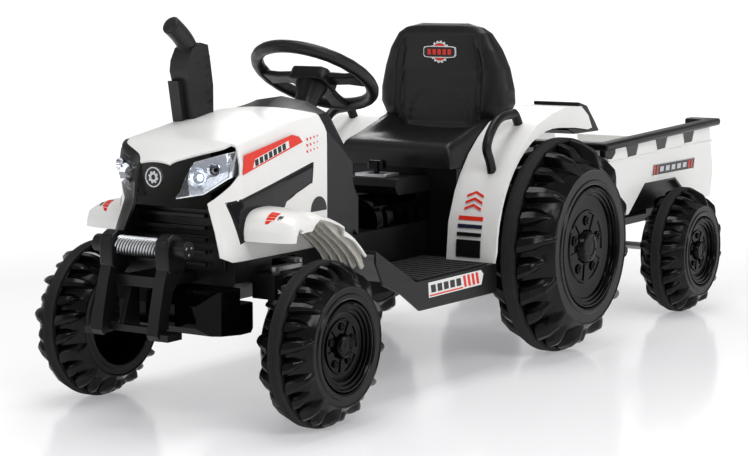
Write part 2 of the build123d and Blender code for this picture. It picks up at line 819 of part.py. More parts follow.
seat_bottom = seat_base_top + fit_gap
seat_profile = [
    (-429, seat_bottom), (-427, 288), (-432, 301), (-446, 305), (-520, 315), (-540, 324), (-548, 345),
    (-553, 400), (-550, 452), (-556, 464), (-566, 466), (-578, 456), (-590, 420), (-602, 350),
    (-606, seat_bottom),
]
seat_front_view = [
    (90, seat_bottom), (90, 322), (97, 333), (107, 352), (107, 372), (101, 402), (90, 430), (76, 452),
    (58, 463), (30, 466.5),
]
with BuildPart() as seat:
    add(slab([(back(a), z) for a, z in seat_profile], -110, 110))
    with BuildSketch(Plane.YZ.offset(back(-620))):
        with BuildLine():
            Polyline(*seat_front_view, *[(-y, z) for y, z in reversed(seat_front_view)], close=True)
        make_face()
    extrude(amount=250, mode=Mode.INTERSECT)
    clearance = [rear_polar(radius + 1, angle) for radius, angle in rear_outline]
    clearance += [(back(-668), 347), rear_polar(60, 93)]
    for low, high in ((fender_inner_y - 0.6, 120), (-120, 0.6 - fender_inner_y)):
        add(slab(clearance, low, high), mode=Mode.SUBTRACT)
save(seat, "seat")

# ---------------------------------------------------------------- trim of the tractor
stack_y = -60.0
stack_half_width = 14.0
stack_outline = [
    (-41, 338), (-30, 400), (-25, 415), (-27, 428), (-36, 443), (-52, 450), (-67, 447), (-72, 425),
    (-77, 396), (-77, 338),
]
duct_outline = [(-21, 403), (-29.6, 403), (-39.6, 345), (-41.2, 338), (-33, 338)]
with BuildPart() as stack:
    body_outline = [(back(a), z) for a, z in stack_outline]
    add(slab(body_outline, stack_y - stack_half_width, stack_y + stack_half_width))
    add(slab([(back(a), z) for a, z in duct_outline], stack_y - stack_half_width, stack_y + 2))
    add(outer_skin, mode=Mode.SUBTRACT)
    with BuildSketch(Plane.XY.offset(338)):
        with Locations((back(-50), stack_y)):
            Rectangle(100, 60)
    extrude(amount=14, mode=Mode.SUBTRACT)
save(stack, "exhaust_stack")

pipe_radius = 12.0
with BuildPart() as pipe:
    with BuildLine():
        bend = Spline(
            (back(-47), stack_y, 438), (back(-38), stack_y, 452), (back(-12), stack_y, 472),
            tangents=((0.35, 0, 1), (1, 0, 0.62)),
        )
    with BuildSketch(Plane(origin=bend @ 0, z_dir=bend % 0)):
        Circle(pipe_radius)
    sweep()
    with BuildSketch(Plane(origin=bend @ 1, z_dir=bend % 1)):
        Circle(pipe_radius - 2.5)
    extrude(amount=-16, mode=Mode.SUBTRACT)
    add(slab([(back(a), z) for a, z in stack_outline], stack_y - 30, stack_y + 30), mode=Mode.SUBTRACT)
save(pipe, "exhaust_pipe")

drum_x = 120.0
drum_z = 217.0
drum_core = 8.0
drum_boss = 11.0
drum_half = 69.0
arm_y = 42.0
arm_width = 16.0
arm_outline = [
    (104, 192), (104, 222), (110, 231), (124, 234), (134, 228), (137.5, 216), (136, 196), (142, 180),
    (151, 145), (156, 120), (152, 113.5), (142, 117), (134, 142), (126, 168), (112, 184),
]
with BuildPart() as bracket:
    arm = [(back(a), z) for a, z in arm_outline]
    for side in (1, -1):
        add(slab(arm, side * arm_y - arm_width / 2, side * arm_y + arm_width / 2))
    with BuildSketch(Plane.XY.offset(114)):
        for side in (1, -1):
            with Locations((back(140), side * (arm_y + 10))):
                Rectangle(26, 22)
    extrude(amount=8)
    with BuildSketch(Plane.XY.offset(170)):
        with Locations((back((tub_front + fit_gap + 126) / 2), 0)):
            Rectangle(126 - tub_front - fit_gap, 2 * 28)
        with Locations((back(119), 0)):
            Rectangle(14, 2 * arm_y)
    extrude(amount=13)
    with BuildSketch(Plane.XY.offset(118)):
        with Locations((back(134), 0)):
            Rectangle(10, 2 * arm_y)
    extrude(amount=8)
    for side in (1, -1):
        add(slab(
            [(back(104), 170), (back(118), 171), (back(136), 122), (back(104), 118)],
            side * 22 - 3,
            side * 22 + 3,
        ))
    with BuildSketch(Plane.XZ.offset(-60)):
        with Locations((back(drum_x), drum_z)):
            Circle(drum_core + fit_gap)
    extrude(amount=120, mode=Mode.SUBTRACT)
save(bracket, "bumper_bracket")

with BuildPart() as drum:
    with BuildSketch(Plane.XZ.offset(-drum_half)):
        with Locations((back(drum_x), drum_z)):
            Circle(drum_core)
    extrude(amount=2 * drum_half)
    for side in (1, -1):
        with BuildSketch(Plane.XZ.offset(-side * drum_half)):
            with Locations((back(drum_x), drum_z)):
                Circle(drum_boss)
        extrude(amount=side * (drum_half - arm_y - arm_width / 2 - fit_gap))
save(drum, "winch_drum")

coil_wire = 1.9
coil_pitch = 5.0
coil_half = arm_y - arm_width / 2 - coil_wire - 1.0
coil_center = drum_core + coil_wire + fit_gap
with BuildPart() as coil:
    with BuildLine():
        path = Helix(
            pitch=coil_pitch,
            height=2 * coil_half,
            radius=coil_center,
            center=(back(drum_x), -coil_half, drum_z),
            direction=(0, 1, 0),
        )
    with BuildSketch(Plane(origin=path @ 0, z_dir=path % 0)):
        Circle(coil_wire)
    sweep(is_frenet=True)
save(coil, "winch_coil")

weight_plan = [(30, 90), (34, 96), (58, 96), (80, 84), (95, 58)]
with BuildPart() as weight:
    with BuildSketch(Plane.XY.offset(112)):
        with BuildLine():
            Polyline(
                *[(back(a), y) for a, y in weight_plan],
                *[(back(a), -y) for a, y in reversed(weight_plan)],
                close=True,
            )
        make_face()
    extrude(amount=60)
    add(slab(
        [
            (back(30), 122), (back(38), 112), (back(86), 112), (back(96), 122), (back(96), 146),
            (back(82), 164), (back(tub_front + 0.3), 168), (back(tub_front + 0.3), tub_floor - 0.3),
            (back(30), tub_floor - 0.3),
        ],
        -100,
        100,
    ), mode=Mode.INTERSECT)
save(weight, "front_weight")

with BuildPart() as bezel:
    with BuildSketch(Plane.XY.offset(console_top + fit_gap)):
        with Locations((back(lever_pivot[0]), 0)):
            Rectangle(36, 50)
            Rectangle(26, 16, mode=Mode.SUBTRACT)
    extrude(amount=5)
save(bezel, "shift_bezel")

rib_count = 5
rib_spacing = 26.0
rib_thickness = 15.0
rib_radius = 30.0
with BuildPart() as engine:
    with BuildSketch(Plane.XY.offset(tunnel_top + fit_gap)):
        with Locations((back(-375), 0)):
            Rectangle(rib_spacing * rib_count - 14, 2 * 38)
    extrude(amount=30)
    for index in range(rib_count):
        rib_face = -375 + (index - (rib_count - 1) / 2) * rib_spacing - rib_thickness / 2
        with BuildSketch(Plane.YZ.offset(back(rib_face))):
            with Locations((0, 203)):
                SlotCenterToCenter(2 * 15, 2 * rib_radius)
            with Locations((0, tunnel_top + fit_gap - 50)):
                Rectangle(200, 100, mode=Mode.SUBTRACT)
        extrude(amount=rib_thickness)
save(engine, "engine_cover")

with BuildPart() as rear_axle:
    with BuildSketch(Plane.XZ.offset(-rear_track / 2 - rear_half_width + dish_depth - 10)):
        with Locations((rear_axle_x, rear_radius)):
            Circle(rear_axle_radius)
    extrude(amount=rear_track + 2 * rear_half_width - 2 * dish_depth + 20)
save(rear_axle, "rear_axle")

with BuildPart() as gearbox:
    with BuildSketch(Plane.XZ.offset(-body_half_width - fit_gap)):
        with Locations((rear_axle_x, rear_radius)):
            Circle(34)
        with Locations((rear_axle_x + 30, rear_radius)):
            Circle(22)
        with Locations((rear_axle_x, rear_radius)):
            Circle(rear_axle_radius + fit_gap, mode=Mode.SUBTRACT)
    extrude(amount=-(rear_track / 2 - rear_half_width - body_half_width - 8))
save(pair(gearbox), "gearboxes")

with BuildPart() as battery:
    with BuildSketch(Plane.XY.offset(rear_tub_bottom + shell + fit_gap)):
        with Locations((back(-650), 0)):
            Rectangle(70, 100)
    extrude(amount=62)
save(battery, "battery")

with BuildPart() as hitch_pin:
    with BuildSketch(Plane.XY.offset(tongue_low - clevis_plate - 6)):
        with Locations((hitch_x, 0)):
            Circle(hitch_pin_radius)
    extrude(amount=tongue_high - tongue_low + 2 * clevis_plate + 12)
    with BuildSketch(Plane.XY.offset(tongue_high + seat_gap + clevis_plate + fit_gap)):
        with Locations((hitch_x, 0)):
            Circle(11)
    extrude(amount=6)
save(hitch_pin, "hitch_pin")

# ---------------------------------------------------------------- steering
knuckle_shoulder = 9.0
link_y = kingpin_half_spacing
with BuildPart() as knuckle:
    with BuildSketch(Plane.XY.offset(axle_height - stub_radius - 3)):
        with Locations((front_axle_x, kingpin_half_spacing)):
            Circle(kingpin_radius)
    extrude(amount=arm_high - axle_height + stub_radius + 3)
    with BuildSketch(Plane.XY.offset(axle_height - stub_radius - 3)):
        with Locations((front_axle_x, kingpin_half_spacing)):
            Circle(knuckle_shoulder)
    extrude(amount=wing_low - seat_gap - axle_height + stub_radius + 3)
    with BuildSketch(Plane.XZ.offset(-kingpin_half_spacing)):
        with Locations((front_axle_x, axle_height)):
            Circle(stub_radius)
    extrude(amount=-(front_track / 2 + front_half_width - dish_depth + 10 - kingpin_half_spacing))
    with BuildSketch(Plane.XY.offset(arm_low)):
        with Locations((front_axle_x - arm_length / 2, kingpin_half_spacing)):
            SlotCenterToCenter(arm_length, 14)
    extrude(amount=arm_high - arm_low)
    with BuildSketch(Plane.XY.offset(arm_high)):
        with Locations((front_axle_x - arm_length, kingpin_half_spacing)):
            Circle(link_pin_radius)
    extrude(amount=link_high - arm_high + 0.5)
save(knuckle, "knuckle_left")
save(mirrored(knuckle), "knuckle_right")

crank_pin_radius = 4.0
slot_reach = 4.0
with BuildPart() as tie_rod:
    with BuildSketch(Plane.XY.offset(link_low)):
        with Locations((front_axle_x - arm_length, 0)):
            SlotCenterToCenter(2 * link_y, 14, rotation=90)
        with Locations(((front_axle_x - arm_length + back(crank_pin_x)) / 2 - 4, 0)):
            Rectangle(-arm_length - crank_pin_x + 16, 18)
        for side in (1, -1):
            with Locations((front_axle_x - arm_length, side * link_y)):
                Circle(link_pin_radius + running_gap, mode=Mode.SUBTRACT)
        with Locations((back(crank_pin_x), 0)):
            SlotCenterToCenter(2 * slot_reach, 2 * (crank_pin_radius + seat_gap), mode=Mode.SUBTRACT)
    extrude(amount=link_high - link_low)
save(tie_rod, "tie_rod")

crank_thickness = 6.0
with BuildPart() as steering_shaft:
    with BuildSketch(column_plane(crank_height + 6)):
        Circle(column_radius)
    extrude(amount=(steering_height - crank_height - 12) / axis_z)
    with BuildSketch(column_plane(crank_height + 6)):
        with Locations((-crank_radius / 2, 0)):
            SlotCenterToCenter(crank_radius, 13)
    extrude(amount=crank_thickness)
    with BuildSketch(Plane.XY.offset(link_low - 1)):
        with Locations((back(crank_pin_x), 0)):
            Circle(crank_pin_radius - 0.8)
    extrude(amount=crank_height - link_low + 12)
save(steering_shaft, "steering_shaft")

hub_height = 16.0
spoke_thickness = 9.0


def wheel_plane(lift):
    """Plane of the steering wheel rim, lifted along the steering axis."""
    level = column_plane(steering_height)
    return level.offset(lift)


with BuildPart() as steering_wheel:
    with BuildSketch(Plane(origin=wheel_plane(0).origin, x_dir=wheel_plane(0).x_dir, z_dir=(0, -1, 0))):
        with Locations((rim_radius, 0)):
            Circle(rim_tube)
    revolve(axis=Axis(wheel_plane(0).origin, wheel_plane(0).z_dir))
    with BuildSketch(wheel_plane(-8)):
        Rectangle(38, 46)
        with Locations((0, rim_radius / 2), (0, -rim_radius / 2)):
            Rectangle(24, rim_radius - 2)
        with Locations((-rim_radius / 2, 0)):
            Rectangle(rim_radius - 2, 22)
    extrude(amount=spoke_thickness)
    with BuildSketch(wheel_plane(-hub_height)):
        Circle(hub_radius)
    extrude(amount=hub_height + 5)
    with BuildSketch(wheel_plane(-hub_height - 1)):
        Circle(column_radius + fit_gap)
    extrude(amount=12, mode=Mode.SUBTRACT)
    with BuildSketch(wheel_plane(-2)):
        Circle(horn_radius + seat_gap)
    extrude(amount=10, mode=Mode.SUBTRACT)
save(steering_wheel, "steering_wheel")

with BuildPart() as horn_button:
    with BuildSketch(wheel_plane(-2 + horn_travel + seat_gap)):
        Circle(horn_radius)
    extrude(amount=7)
    fillet(horn_button.edges().sort_by(Axis((0, 0, 0), wheel_plane(0).z_dir))[-1], 1.5)
save(horn_button, "horn_button")

# ---------------------------------------------------------------- hand and foot controls
with BuildPart() as shift_lever:
    with BuildSketch(Plane.XZ.offset(-13)):
        with Locations((back(lever_pivot[0]), lever_pivot[1])):
            Circle(lever_pin_radius)
    extrude(amount=26)
    with BuildSketch(Plane.XZ.offset(-3)):
        with Locations((back(lever_pivot[0]), lever_pivot[1])):
            Circle(5.5)
        with Locations((back(lever_pivot[0]), lever_pivot[1] + 12)):
            Rectangle(6, 24)
    extrude(amount=6)
    with BuildSketch(Plane.XY.offset(lever_pivot[1] + 20)):
        with Locations((back(lever_pivot[0]), 0)):
            RectangleRounded(18, 24, 6)
    extrude(amount=12)
    fillet(shift_lever.edges().group_by(Axis.Z)[-1], 3)
save(shift_lever, "shift_lever")

pedal_length = 52.0
pedal_rise = 13.0
with BuildPart() as pedal:
    with BuildSketch(Plane.XZ.offset(-pedal_y - pedal_half_width)):
        with BuildLine():
            Polyline(
                (back(pedal_pivot[0]), pedal_pivot[1] - 2.5),
                (back(pedal_pivot[0]) + pedal_length, pedal_pivot[1] - 2.5 + pedal_rise),
                (back(pedal_pivot[0]) + pedal_length, pedal_pivot[1] + 2.5 + pedal_rise),
                (back(pedal_pivot[0]), pedal_pivot[1] + 3),
                close=True,
            )
        make_face()
        with Locations((back(pedal_pivot[0]), pedal_pivot[1])):
            Circle(5)
    extrude(amount=2 * pedal_half_width)
    with BuildSketch(Plane.XZ.offset(-pedal_y - pedal_half_width - 6)):
        with Locations((back(pedal_pivot[0]), pedal_pivot[1])):
            Circle(pedal_pin_radius)
    extrude(amount=2 * pedal_half_width + 12)
save(pedal, "pedal")

# ---------------------------------------------------------------- trailer
tub_side = [
    (bed_front_top, bed_top_front), (bed_front_low, bed_low), (-1188, bed_low), (-1198, 209),
    (bed_rear_top, bed_top_rear),
]
tub_void = [
    (bed_front_top - 5, bed_top_front + 30), (bed_front_top - 5, bed_top_front - 1),
    (bed_front_low - 3, bed_floor),
    (-1184, bed_floor), (-1193, 209), (bed_rear_top - 4, bed_top_rear + 30),
]
wheel_opening = [(-865, 160), (-899, 186), (-930, arch_top), (-1045, arch_top), (-1082, 186), (-1118, 160)]
wheel_box = [
    (-858, 160), (-896, 190), (-928, arch_top + 4), (-1047, arch_top + 4), (-1086, 190), (-1126, 160),
]
box_half_width = 140.0
box_wall = 4.0
with BuildPart() as trailer_tub:
    add(slab([(back(a), z) for a, z in tub_side], -bed_half_width, bed_half_width))
    with BuildPart(mode=Mode.PRIVATE) as void:
        add(slab([(back(a), z) for a, z in tub_void], bed_wall - bed_half_width, bed_half_width - bed_wall))
        box_inner = box_half_width - box_wall
        for low, high in ((box_inner, bed_half_width), (-bed_half_width, -box_inner)):
            add(slab([(back(a), z) for a, z in wheel_box], low, high), mode=Mode.SUBTRACT)
    add(void.part, mode=Mode.SUBTRACT)
    for low, high in ((box_half_width, bed_half_width + 1), (-bed_half_width - 1, -box_half_width)):
        add(slab([(back(a), z) for a, z in wheel_opening], low, high), mode=Mode.SUBTRACT)
    with BuildSketch(Plane.XY.offset(177)):
        with Locations((back(-1190), 0)):
            Rectangle(40, 2 * (tailgate_half_width + 0.5))
    extrude(amount=200, mode=Mode.SUBTRACT)
save(trailer_tub, "trailer_tub")

gate_outline = [
    (-1190.2, 177.8), (-1197.7, 209), (-1186.5, tailgate_top), (-1181.5, tailgate_top),
    (-1192.7, 209), (-1185.4, 177.8),
]
with BuildPart() as tailgate:
    add(slab([(back(a), z) for a, z in gate_outline], -tailgate_half_width, tailgate_half_width))
    with BuildSketch(Plane.YZ.offset(back(-1201))):
        with Locations((0, 248)):
            Rectangle(60, 8)
    extrude(amount=14)
save(tailgate, "tailgate")

rail_slope = (bed_top_rear - bed_top_front) / (bed_front_top - bed_rear_top)


def rail_top(distance):
    """Height of the tub rim below the rail at a distance from the front axle."""
    return bed_top_front + (bed_front_top - distance) * rail_slope


with BuildPart() as trailer_rail:
    rail_front = bed_front_top + 15
    rail_rear = -1204.0
    add(slab(
        [
            (back(rail_front), rail_top(rail_front) + fit_gap),
            (back(rail_front), rail_top(rail_front) + rail_height),
            (back(rail_rear), rail_top(rail_rear) + rail_height),
            (back(rail_rear), rail_top(rail_rear) + fit_gap),
        ],
        -bed_half_width - rail_overhang,
        bed_half_width + rail_overhang,
    ))
    with BuildSketch(Plane.XY.offset(250)):
        with Locations((back((rail_front - rail_width + rail_rear + rail_width) / 2), 0)):
            Rectangle(
                rail_front - rail_rear - 2 * rail_width, 2 * (bed_half_width + rail_overhang - rail_width)
            )
        with Locations((back(rail_rear + rail_width / 2), 0)):
            Rectangle(rail_width + 2, 2 * (tailgate_half_width + 3))
    extrude(amount=70, mode=Mode.SUBTRACT)
save(trailer_rail, "trailer_rail")

beam_y = 60.0
axle_bracket_low = 88.0
with BuildPart() as trailer_frame:
    with BuildSketch(Plane.XY.offset(tongue_low)):
        with Locations((hitch_x, 0)):
            Circle(14)
        with Locations(((hitch_x + back(-800)) / 2, 0)):
            Rectangle(hitch_x - back(-800), 26)
        with Locations((back(-800), 0)):
            Rectangle(40, 150)
        with Locations((back((-800 - 1150) / 2), beam_y), (back((-800 - 1150) / 2), -beam_y)):
            Rectangle(350, 22)
        with Locations((back(-1100), 0)):
            Rectangle(40, 2 * beam_y)
        with Locations((hitch_x, 0)):
            Circle(hitch_pin_radius + running_gap, mode=Mode.SUBTRACT)
    extrude(amount=tongue_high - tongue_low)
    with BuildSketch(Plane.XY.offset(tongue_high)):
        with Locations((back(-900), 0), (back(-1120), 0)):
            Rectangle(30, 2 * beam_y + 22)
    extrude(amount=bed_low - fit_gap - tongue_high)
    with BuildSketch(Plane.XY.offset(axle_bracket_low)):
        with Locations((trailer_axle_x, beam_y), (trailer_axle_x, -beam_y)):
            Rectangle(34, 22)
    extrude(amount=tongue_low - axle_bracket_low)
    with BuildSketch(Plane.XZ.offset(-100)):
        with Locations((trailer_axle_x, axle_height)):
            Circle(trailer_axle_radius + fit_gap)
    extrude(amount=200, mode=Mode.SUBTRACT)
save(trailer_frame, "trailer_frame")

with BuildPart() as trailer_axle:
    with BuildSketch(Plane.XZ.offset(-trailer_track / 2 - front_half_width + dish_depth - 10)):
        with Locations((trailer_axle_x, axle_height)):
            Circle(trailer_axle_radius)
    extrude(amount=trailer_track + 2 * front_half_width - 2 * dish_depth + 20)
save(trailer_axle, "trailer_axle")
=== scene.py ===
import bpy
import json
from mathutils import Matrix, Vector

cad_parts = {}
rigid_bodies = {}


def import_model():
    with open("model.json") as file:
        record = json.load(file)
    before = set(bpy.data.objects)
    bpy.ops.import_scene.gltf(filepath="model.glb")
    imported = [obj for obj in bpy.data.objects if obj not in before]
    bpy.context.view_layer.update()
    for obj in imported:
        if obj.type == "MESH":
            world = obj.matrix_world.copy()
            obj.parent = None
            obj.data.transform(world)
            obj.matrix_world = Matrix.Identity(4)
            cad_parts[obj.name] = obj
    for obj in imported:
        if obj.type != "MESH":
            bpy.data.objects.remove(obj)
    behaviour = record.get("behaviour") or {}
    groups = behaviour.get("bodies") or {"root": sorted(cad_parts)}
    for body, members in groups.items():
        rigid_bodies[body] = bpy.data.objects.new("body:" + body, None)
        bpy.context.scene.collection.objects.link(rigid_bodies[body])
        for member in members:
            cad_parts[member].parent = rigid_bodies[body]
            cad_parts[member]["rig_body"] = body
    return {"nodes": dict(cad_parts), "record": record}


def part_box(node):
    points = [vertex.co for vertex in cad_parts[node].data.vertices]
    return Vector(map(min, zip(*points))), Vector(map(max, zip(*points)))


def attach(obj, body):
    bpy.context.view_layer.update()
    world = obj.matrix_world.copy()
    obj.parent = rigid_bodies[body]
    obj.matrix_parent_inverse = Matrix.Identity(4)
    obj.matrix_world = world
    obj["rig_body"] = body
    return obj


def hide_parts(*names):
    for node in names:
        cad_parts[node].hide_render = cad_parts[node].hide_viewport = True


bl_info = {
    "name": "Ride-on Tractor with Trailer",
    "version": (1, 0, 0),
    "blender": (4, 5, 0),
    "location": "View3D > Sidebar > Tractor",
    "description": "Builds the visible pieces of a battery ride-on toy tractor and its trailer",
    "category": "Add Mesh",
}

import json
import bmesh
import bpy
import numpy as np
from math import cos, pi, radians, sin
from mathutils import Vector

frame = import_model()

MM = 0.001
FRONT_AXLE = 524.0
REAR_AXLE = -65.0
TRAILER_AXLE = -473.0
REAR_RADIUS = 153.0

# place: (x, y, radius, half width, dish radius, band half width), in millimetres
WHEELS = {
    "front": (FRONT_AXLE, 172.0, 100.0, 38.0, 56.0, 8.0),
    "rear": (REAR_AXLE, 177.0, REAR_RADIUS, 53.0, 88.0, 10.0),
    "trailer": (TRAILER_AXLE, 184.0, 100.0, 38.0, 56.0, 8.0),
}


# ---------------------------------------------------------------- shader expressions
class Value:
    """A number socket that takes part in Python arithmetic: each operator adds one Math node."""

    def __init__(self, paint, socket):
        self.paint = paint
        self.socket = socket

    def join(self, operation, other, swapped=False):
        left, right = (other, self) if swapped else (self, other)
        return self.paint.value("ShaderNodeMath", {"operation": operation}, {0: left, 1: right})

    def __add__(self, other):
        return self.join("ADD", other)

    def __sub__(self, other):
        return self.join("SUBTRACT", other)

    def __rsub__(self, other):
        return self.join("SUBTRACT", other, True)

    def __mul__(self, other):
        return self.join("MULTIPLY", other)

    def __pow__(self, other):
        return self.join("POWER", other)

    __radd__ = __add__
    __rmul__ = __mul__

    def clamp(self):
        """The number held between 0 and 1."""
        return self.paint.value("ShaderNodeClamp", {}, {0: self})

    def ramp(self, low, high):
        """0 at low, 1 at high, straight in between and held outside."""
        return ((self - low) * (1.0 / (high - low))).clamp()

    def wave(self, cycles):
        """A sine from -1 to 1 of the number times a count of cycles per metre."""
        turns = self * (2 * pi * cycles)
        return self.paint.value("ShaderNodeMath", {"operation": "SINE"}, {0: turns})


class Paint:
    """A procedural finish: one Principled shader, and the nodes that vary it over the surface."""

    def __init__(self, name):
        self.material = bpy.data.materials.new(name)
        self.material.use_nodes = True
        self.tree = self.material.node_tree
        self.shader = self.tree.nodes["Principled BSDF"]
        self.place = self.node("ShaderNodeTexCoord", {}, {}).outputs["Object"]
        axes = self.node("ShaderNodeSeparateXYZ", {}, {0: self.place})
        self.x, self.y, self.z = (Value(self, axes.outputs[i]) for i in range(3))

    def node(self, kind, settings, inputs):
        """A node of any type: its settings first, then the numbers or links of its sockets."""
        made = self.tree.nodes.new(kind)
        for key, setting in settings.items():
            setattr(made, key, setting)
        for key, given in inputs.items():
            self.feed(made.inputs[key], given)
        return made

    def feed(self, socket, given):
        """Links a socket or an expression, or sets a constant."""
        given = given.socket if isinstance(given, Value) else given
        if isinstance(given, bpy.types.NodeSocket):
            self.tree.links.new(given, socket)
        else:
            socket.default_value = given

    def value(self, kind, settings, inputs, output=0):
        """A node of any type as an expression."""
        return Value(self, self.node(kind, settings, inputs).outputs[output])

    def noise(self, scale, detail=3.0, stretch=(1.0, 1.0, 1.0), offset=0.0):
        """Fractal noise, 0 to 1, with scale cells per metre, stretched along the axes."""
        mapping = self.node(
            "ShaderNodeMapping", {}, {"Vector": self.place, "Location": (offset, offset, offset), "Scale": stretch}
        )
        return self.value(
            "ShaderNodeTexNoise", {}, {"Vector": mapping.outputs[0], "Scale": scale, "Detail": detail}
        )

    def cells(self, scale, feature="F1"):
        """Distance to the nearest of scattered points, scale points per metre."""
        return self.value("ShaderNodeTexVoronoi", {"feature": feature}, {"Vector": self.place, "Scale": scale})

    def mix(self, factor, first, second):
        """Colour between two colours."""
        made = self.node(
            "ShaderNodeMix", {"data_type": "RGBA"}, {0: factor, 6: opaque(first), 7: opaque(second)}
        )
        return made.outputs[2]

    def bump(self, height, depth, strength=1.0):
        """Raises the surface by the height times a depth in metres."""
        made = self.node("ShaderNodeBump", {}, {"Strength": strength, "Distance": depth, "Height": height})
        self.feed(self.shader.inputs["Normal"], made.outputs[0])

    def set(self, **sockets):
        """Sets sockets of the Principled shader; words of a socket's name are joined by underscores."""
        for key, given in sockets.items():
            self.feed(self.shader.inputs[key.replace("_", " ")], opaque(given) if key.endswith("Color") else given)
        return self


def opaque(colour):
    """A colour of three numbers gets its fourth."""
    return (*colour, 1.0) if isinstance(colour, (tuple, list)) and len(colour) == 3 else colour


def moulded(name, colour, roughness, grain=0.6, grain_scale=700.0, peel=0.0, coat=0.0, dust=0.0, specular=0.5):
    """Moulded plastic: slow mottling, fine grain or orange peel, rubbed patches and dust low down."""
    paint = Paint(name)
    mottle = paint.noise(9.0, 4.0)
    fine = paint.noise(grain_scale, 2.0)
    rub = paint.noise(26.0, 5.0, (1.0, 1.0, 2.5), 3.1).ramp(0.52, 0.72)
    darker = tuple(c * 0.985 for c in colour)
    lighter = tuple(min(1.0, c * 1.01 + 0.0005) for c in colour)
    tint = paint.mix(mottle.ramp(0.3, 0.7), darker, lighter)
    powder = ((0.11 - paint.z).ramp(0.0, 0.10) * paint.noise(60.0, 5.0, offset=7.0).ramp(0.35, 0.75)) * dust
    tint = paint.mix(powder, tint, (0.30, 0.28, 0.25))
    paint.set(
        Base_Color=tint,
        Roughness=(mottle * 0.05 + rub * 0.10 + powder * 0.5 + (roughness - 0.03)).clamp(),
        Coat_Weight=coat,
        Coat_Roughness=0.06,
        Specular_IOR_Level=specular,
    )
    height = fine * (grain * 0.10) + paint.noise(120.0, 1.0, offset=5.0) * peel
    paint.bump(height, 0.001)
    return paint.material


def ribbed_rubber(name, colour, rib_cycles, depth):
    """Rubber with fine ribs across Y, speckled and dusty."""
    paint = Paint(name)
    speck = paint.noise(420.0, 4.0)
    ribs = paint.y.wave(rib_cycles)
    powder = paint.noise(45.0, 5.0).ramp(0.45, 0.8)
    tint = paint.mix(powder * 0.35 + speck * 0.2, colour, tuple(c * 2.2 + 0.01 for c in colour))
    paint.set(Base_Color=tint, Roughness=(0.55 + speck * 0.2 + powder * 0.1).clamp())
    paint.bump(ribs * 0.25 + speck * 0.25, depth)
    return paint.material


def metal(name, colour, roughness, brushed=(1.0, 1.0, 1.0), scale=300.0):
    """Metal or metallised plastic with fine brushing and small stains."""
    paint = Paint(name)
    streak = paint.noise(scale, 3.0, brushed)
    stain = paint.noise(30.0, 4.0, offset=2.0).ramp(0.45, 0.8)
    tint = paint.mix(stain * 0.5 + streak * 0.3, colour, tuple(c * 0.75 for c in colour))
    paint.set(Base_Color=tint, Metallic=1.0, Roughness=(roughness + streak * 0.12 + stain * 0.08).clamp())
    paint.bump(streak * 0.2, 0.001)
    return paint.material


def clear_lens(name):
    """Clear moulded lens: hard, thin and faintly rippled."""
    paint = Paint(name)
    ripple = paint.x.wave(160.0) * 0.2 + paint.noise(220.0, 2.0) * 0.3
    paint.set(
        Base_Color=paint.mix(paint.noise(40.0, 3.0), (0.95, 0.97, 1.0), (0.86, 0.9, 0.96)),
        Roughness=(0.02 + paint.noise(90.0, 3.0) * 0.05).clamp(),
        Transmission_Weight=0.94,
        IOR=1.45,
    )
    paint.bump(ripple, 0.0004)
    return paint.material


def glow(name, colour, strength):
    """Lit lamp element: a bright core with fine facets."""
    paint = Paint(name)
    facets = paint.cells(380.0)
    paint.set(
        Base_Color=paint.mix(facets, (0.9, 0.93, 1.0), (0.6, 0.7, 0.9)),
        Emission_Color=paint.mix((facets * 1.4).clamp(), colour, tuple(c * 0.6 for c in colour)),
        Emission_Strength=strength,
        Roughness=(0.1 + facets * 0.2).clamp(),
    )
    paint.bump(facets, 0.0008)
    return paint.material


def printed(name, colour, metallic=0.0):
    """Printed film: glossy ink with a faint weave of dots and worn patches."""
    paint = Paint(name)
    wear = paint.noise(70.0, 5.0).ramp(0.55, 0.85)
    dots = paint.cells(1400.0)
    tint = paint.mix(wear * 0.25 + dots * 0.1, colour, tuple(c * 0.7 + 0.02 for c in colour))
    paint.set(Base_Color=tint, Roughness=(0.22 + wear * 0.2 + dots * 0.05).clamp(), Metallic=metallic)
    paint.bump(dots * 0.15, 0.0003)
    return paint.material


PAINTS = {}


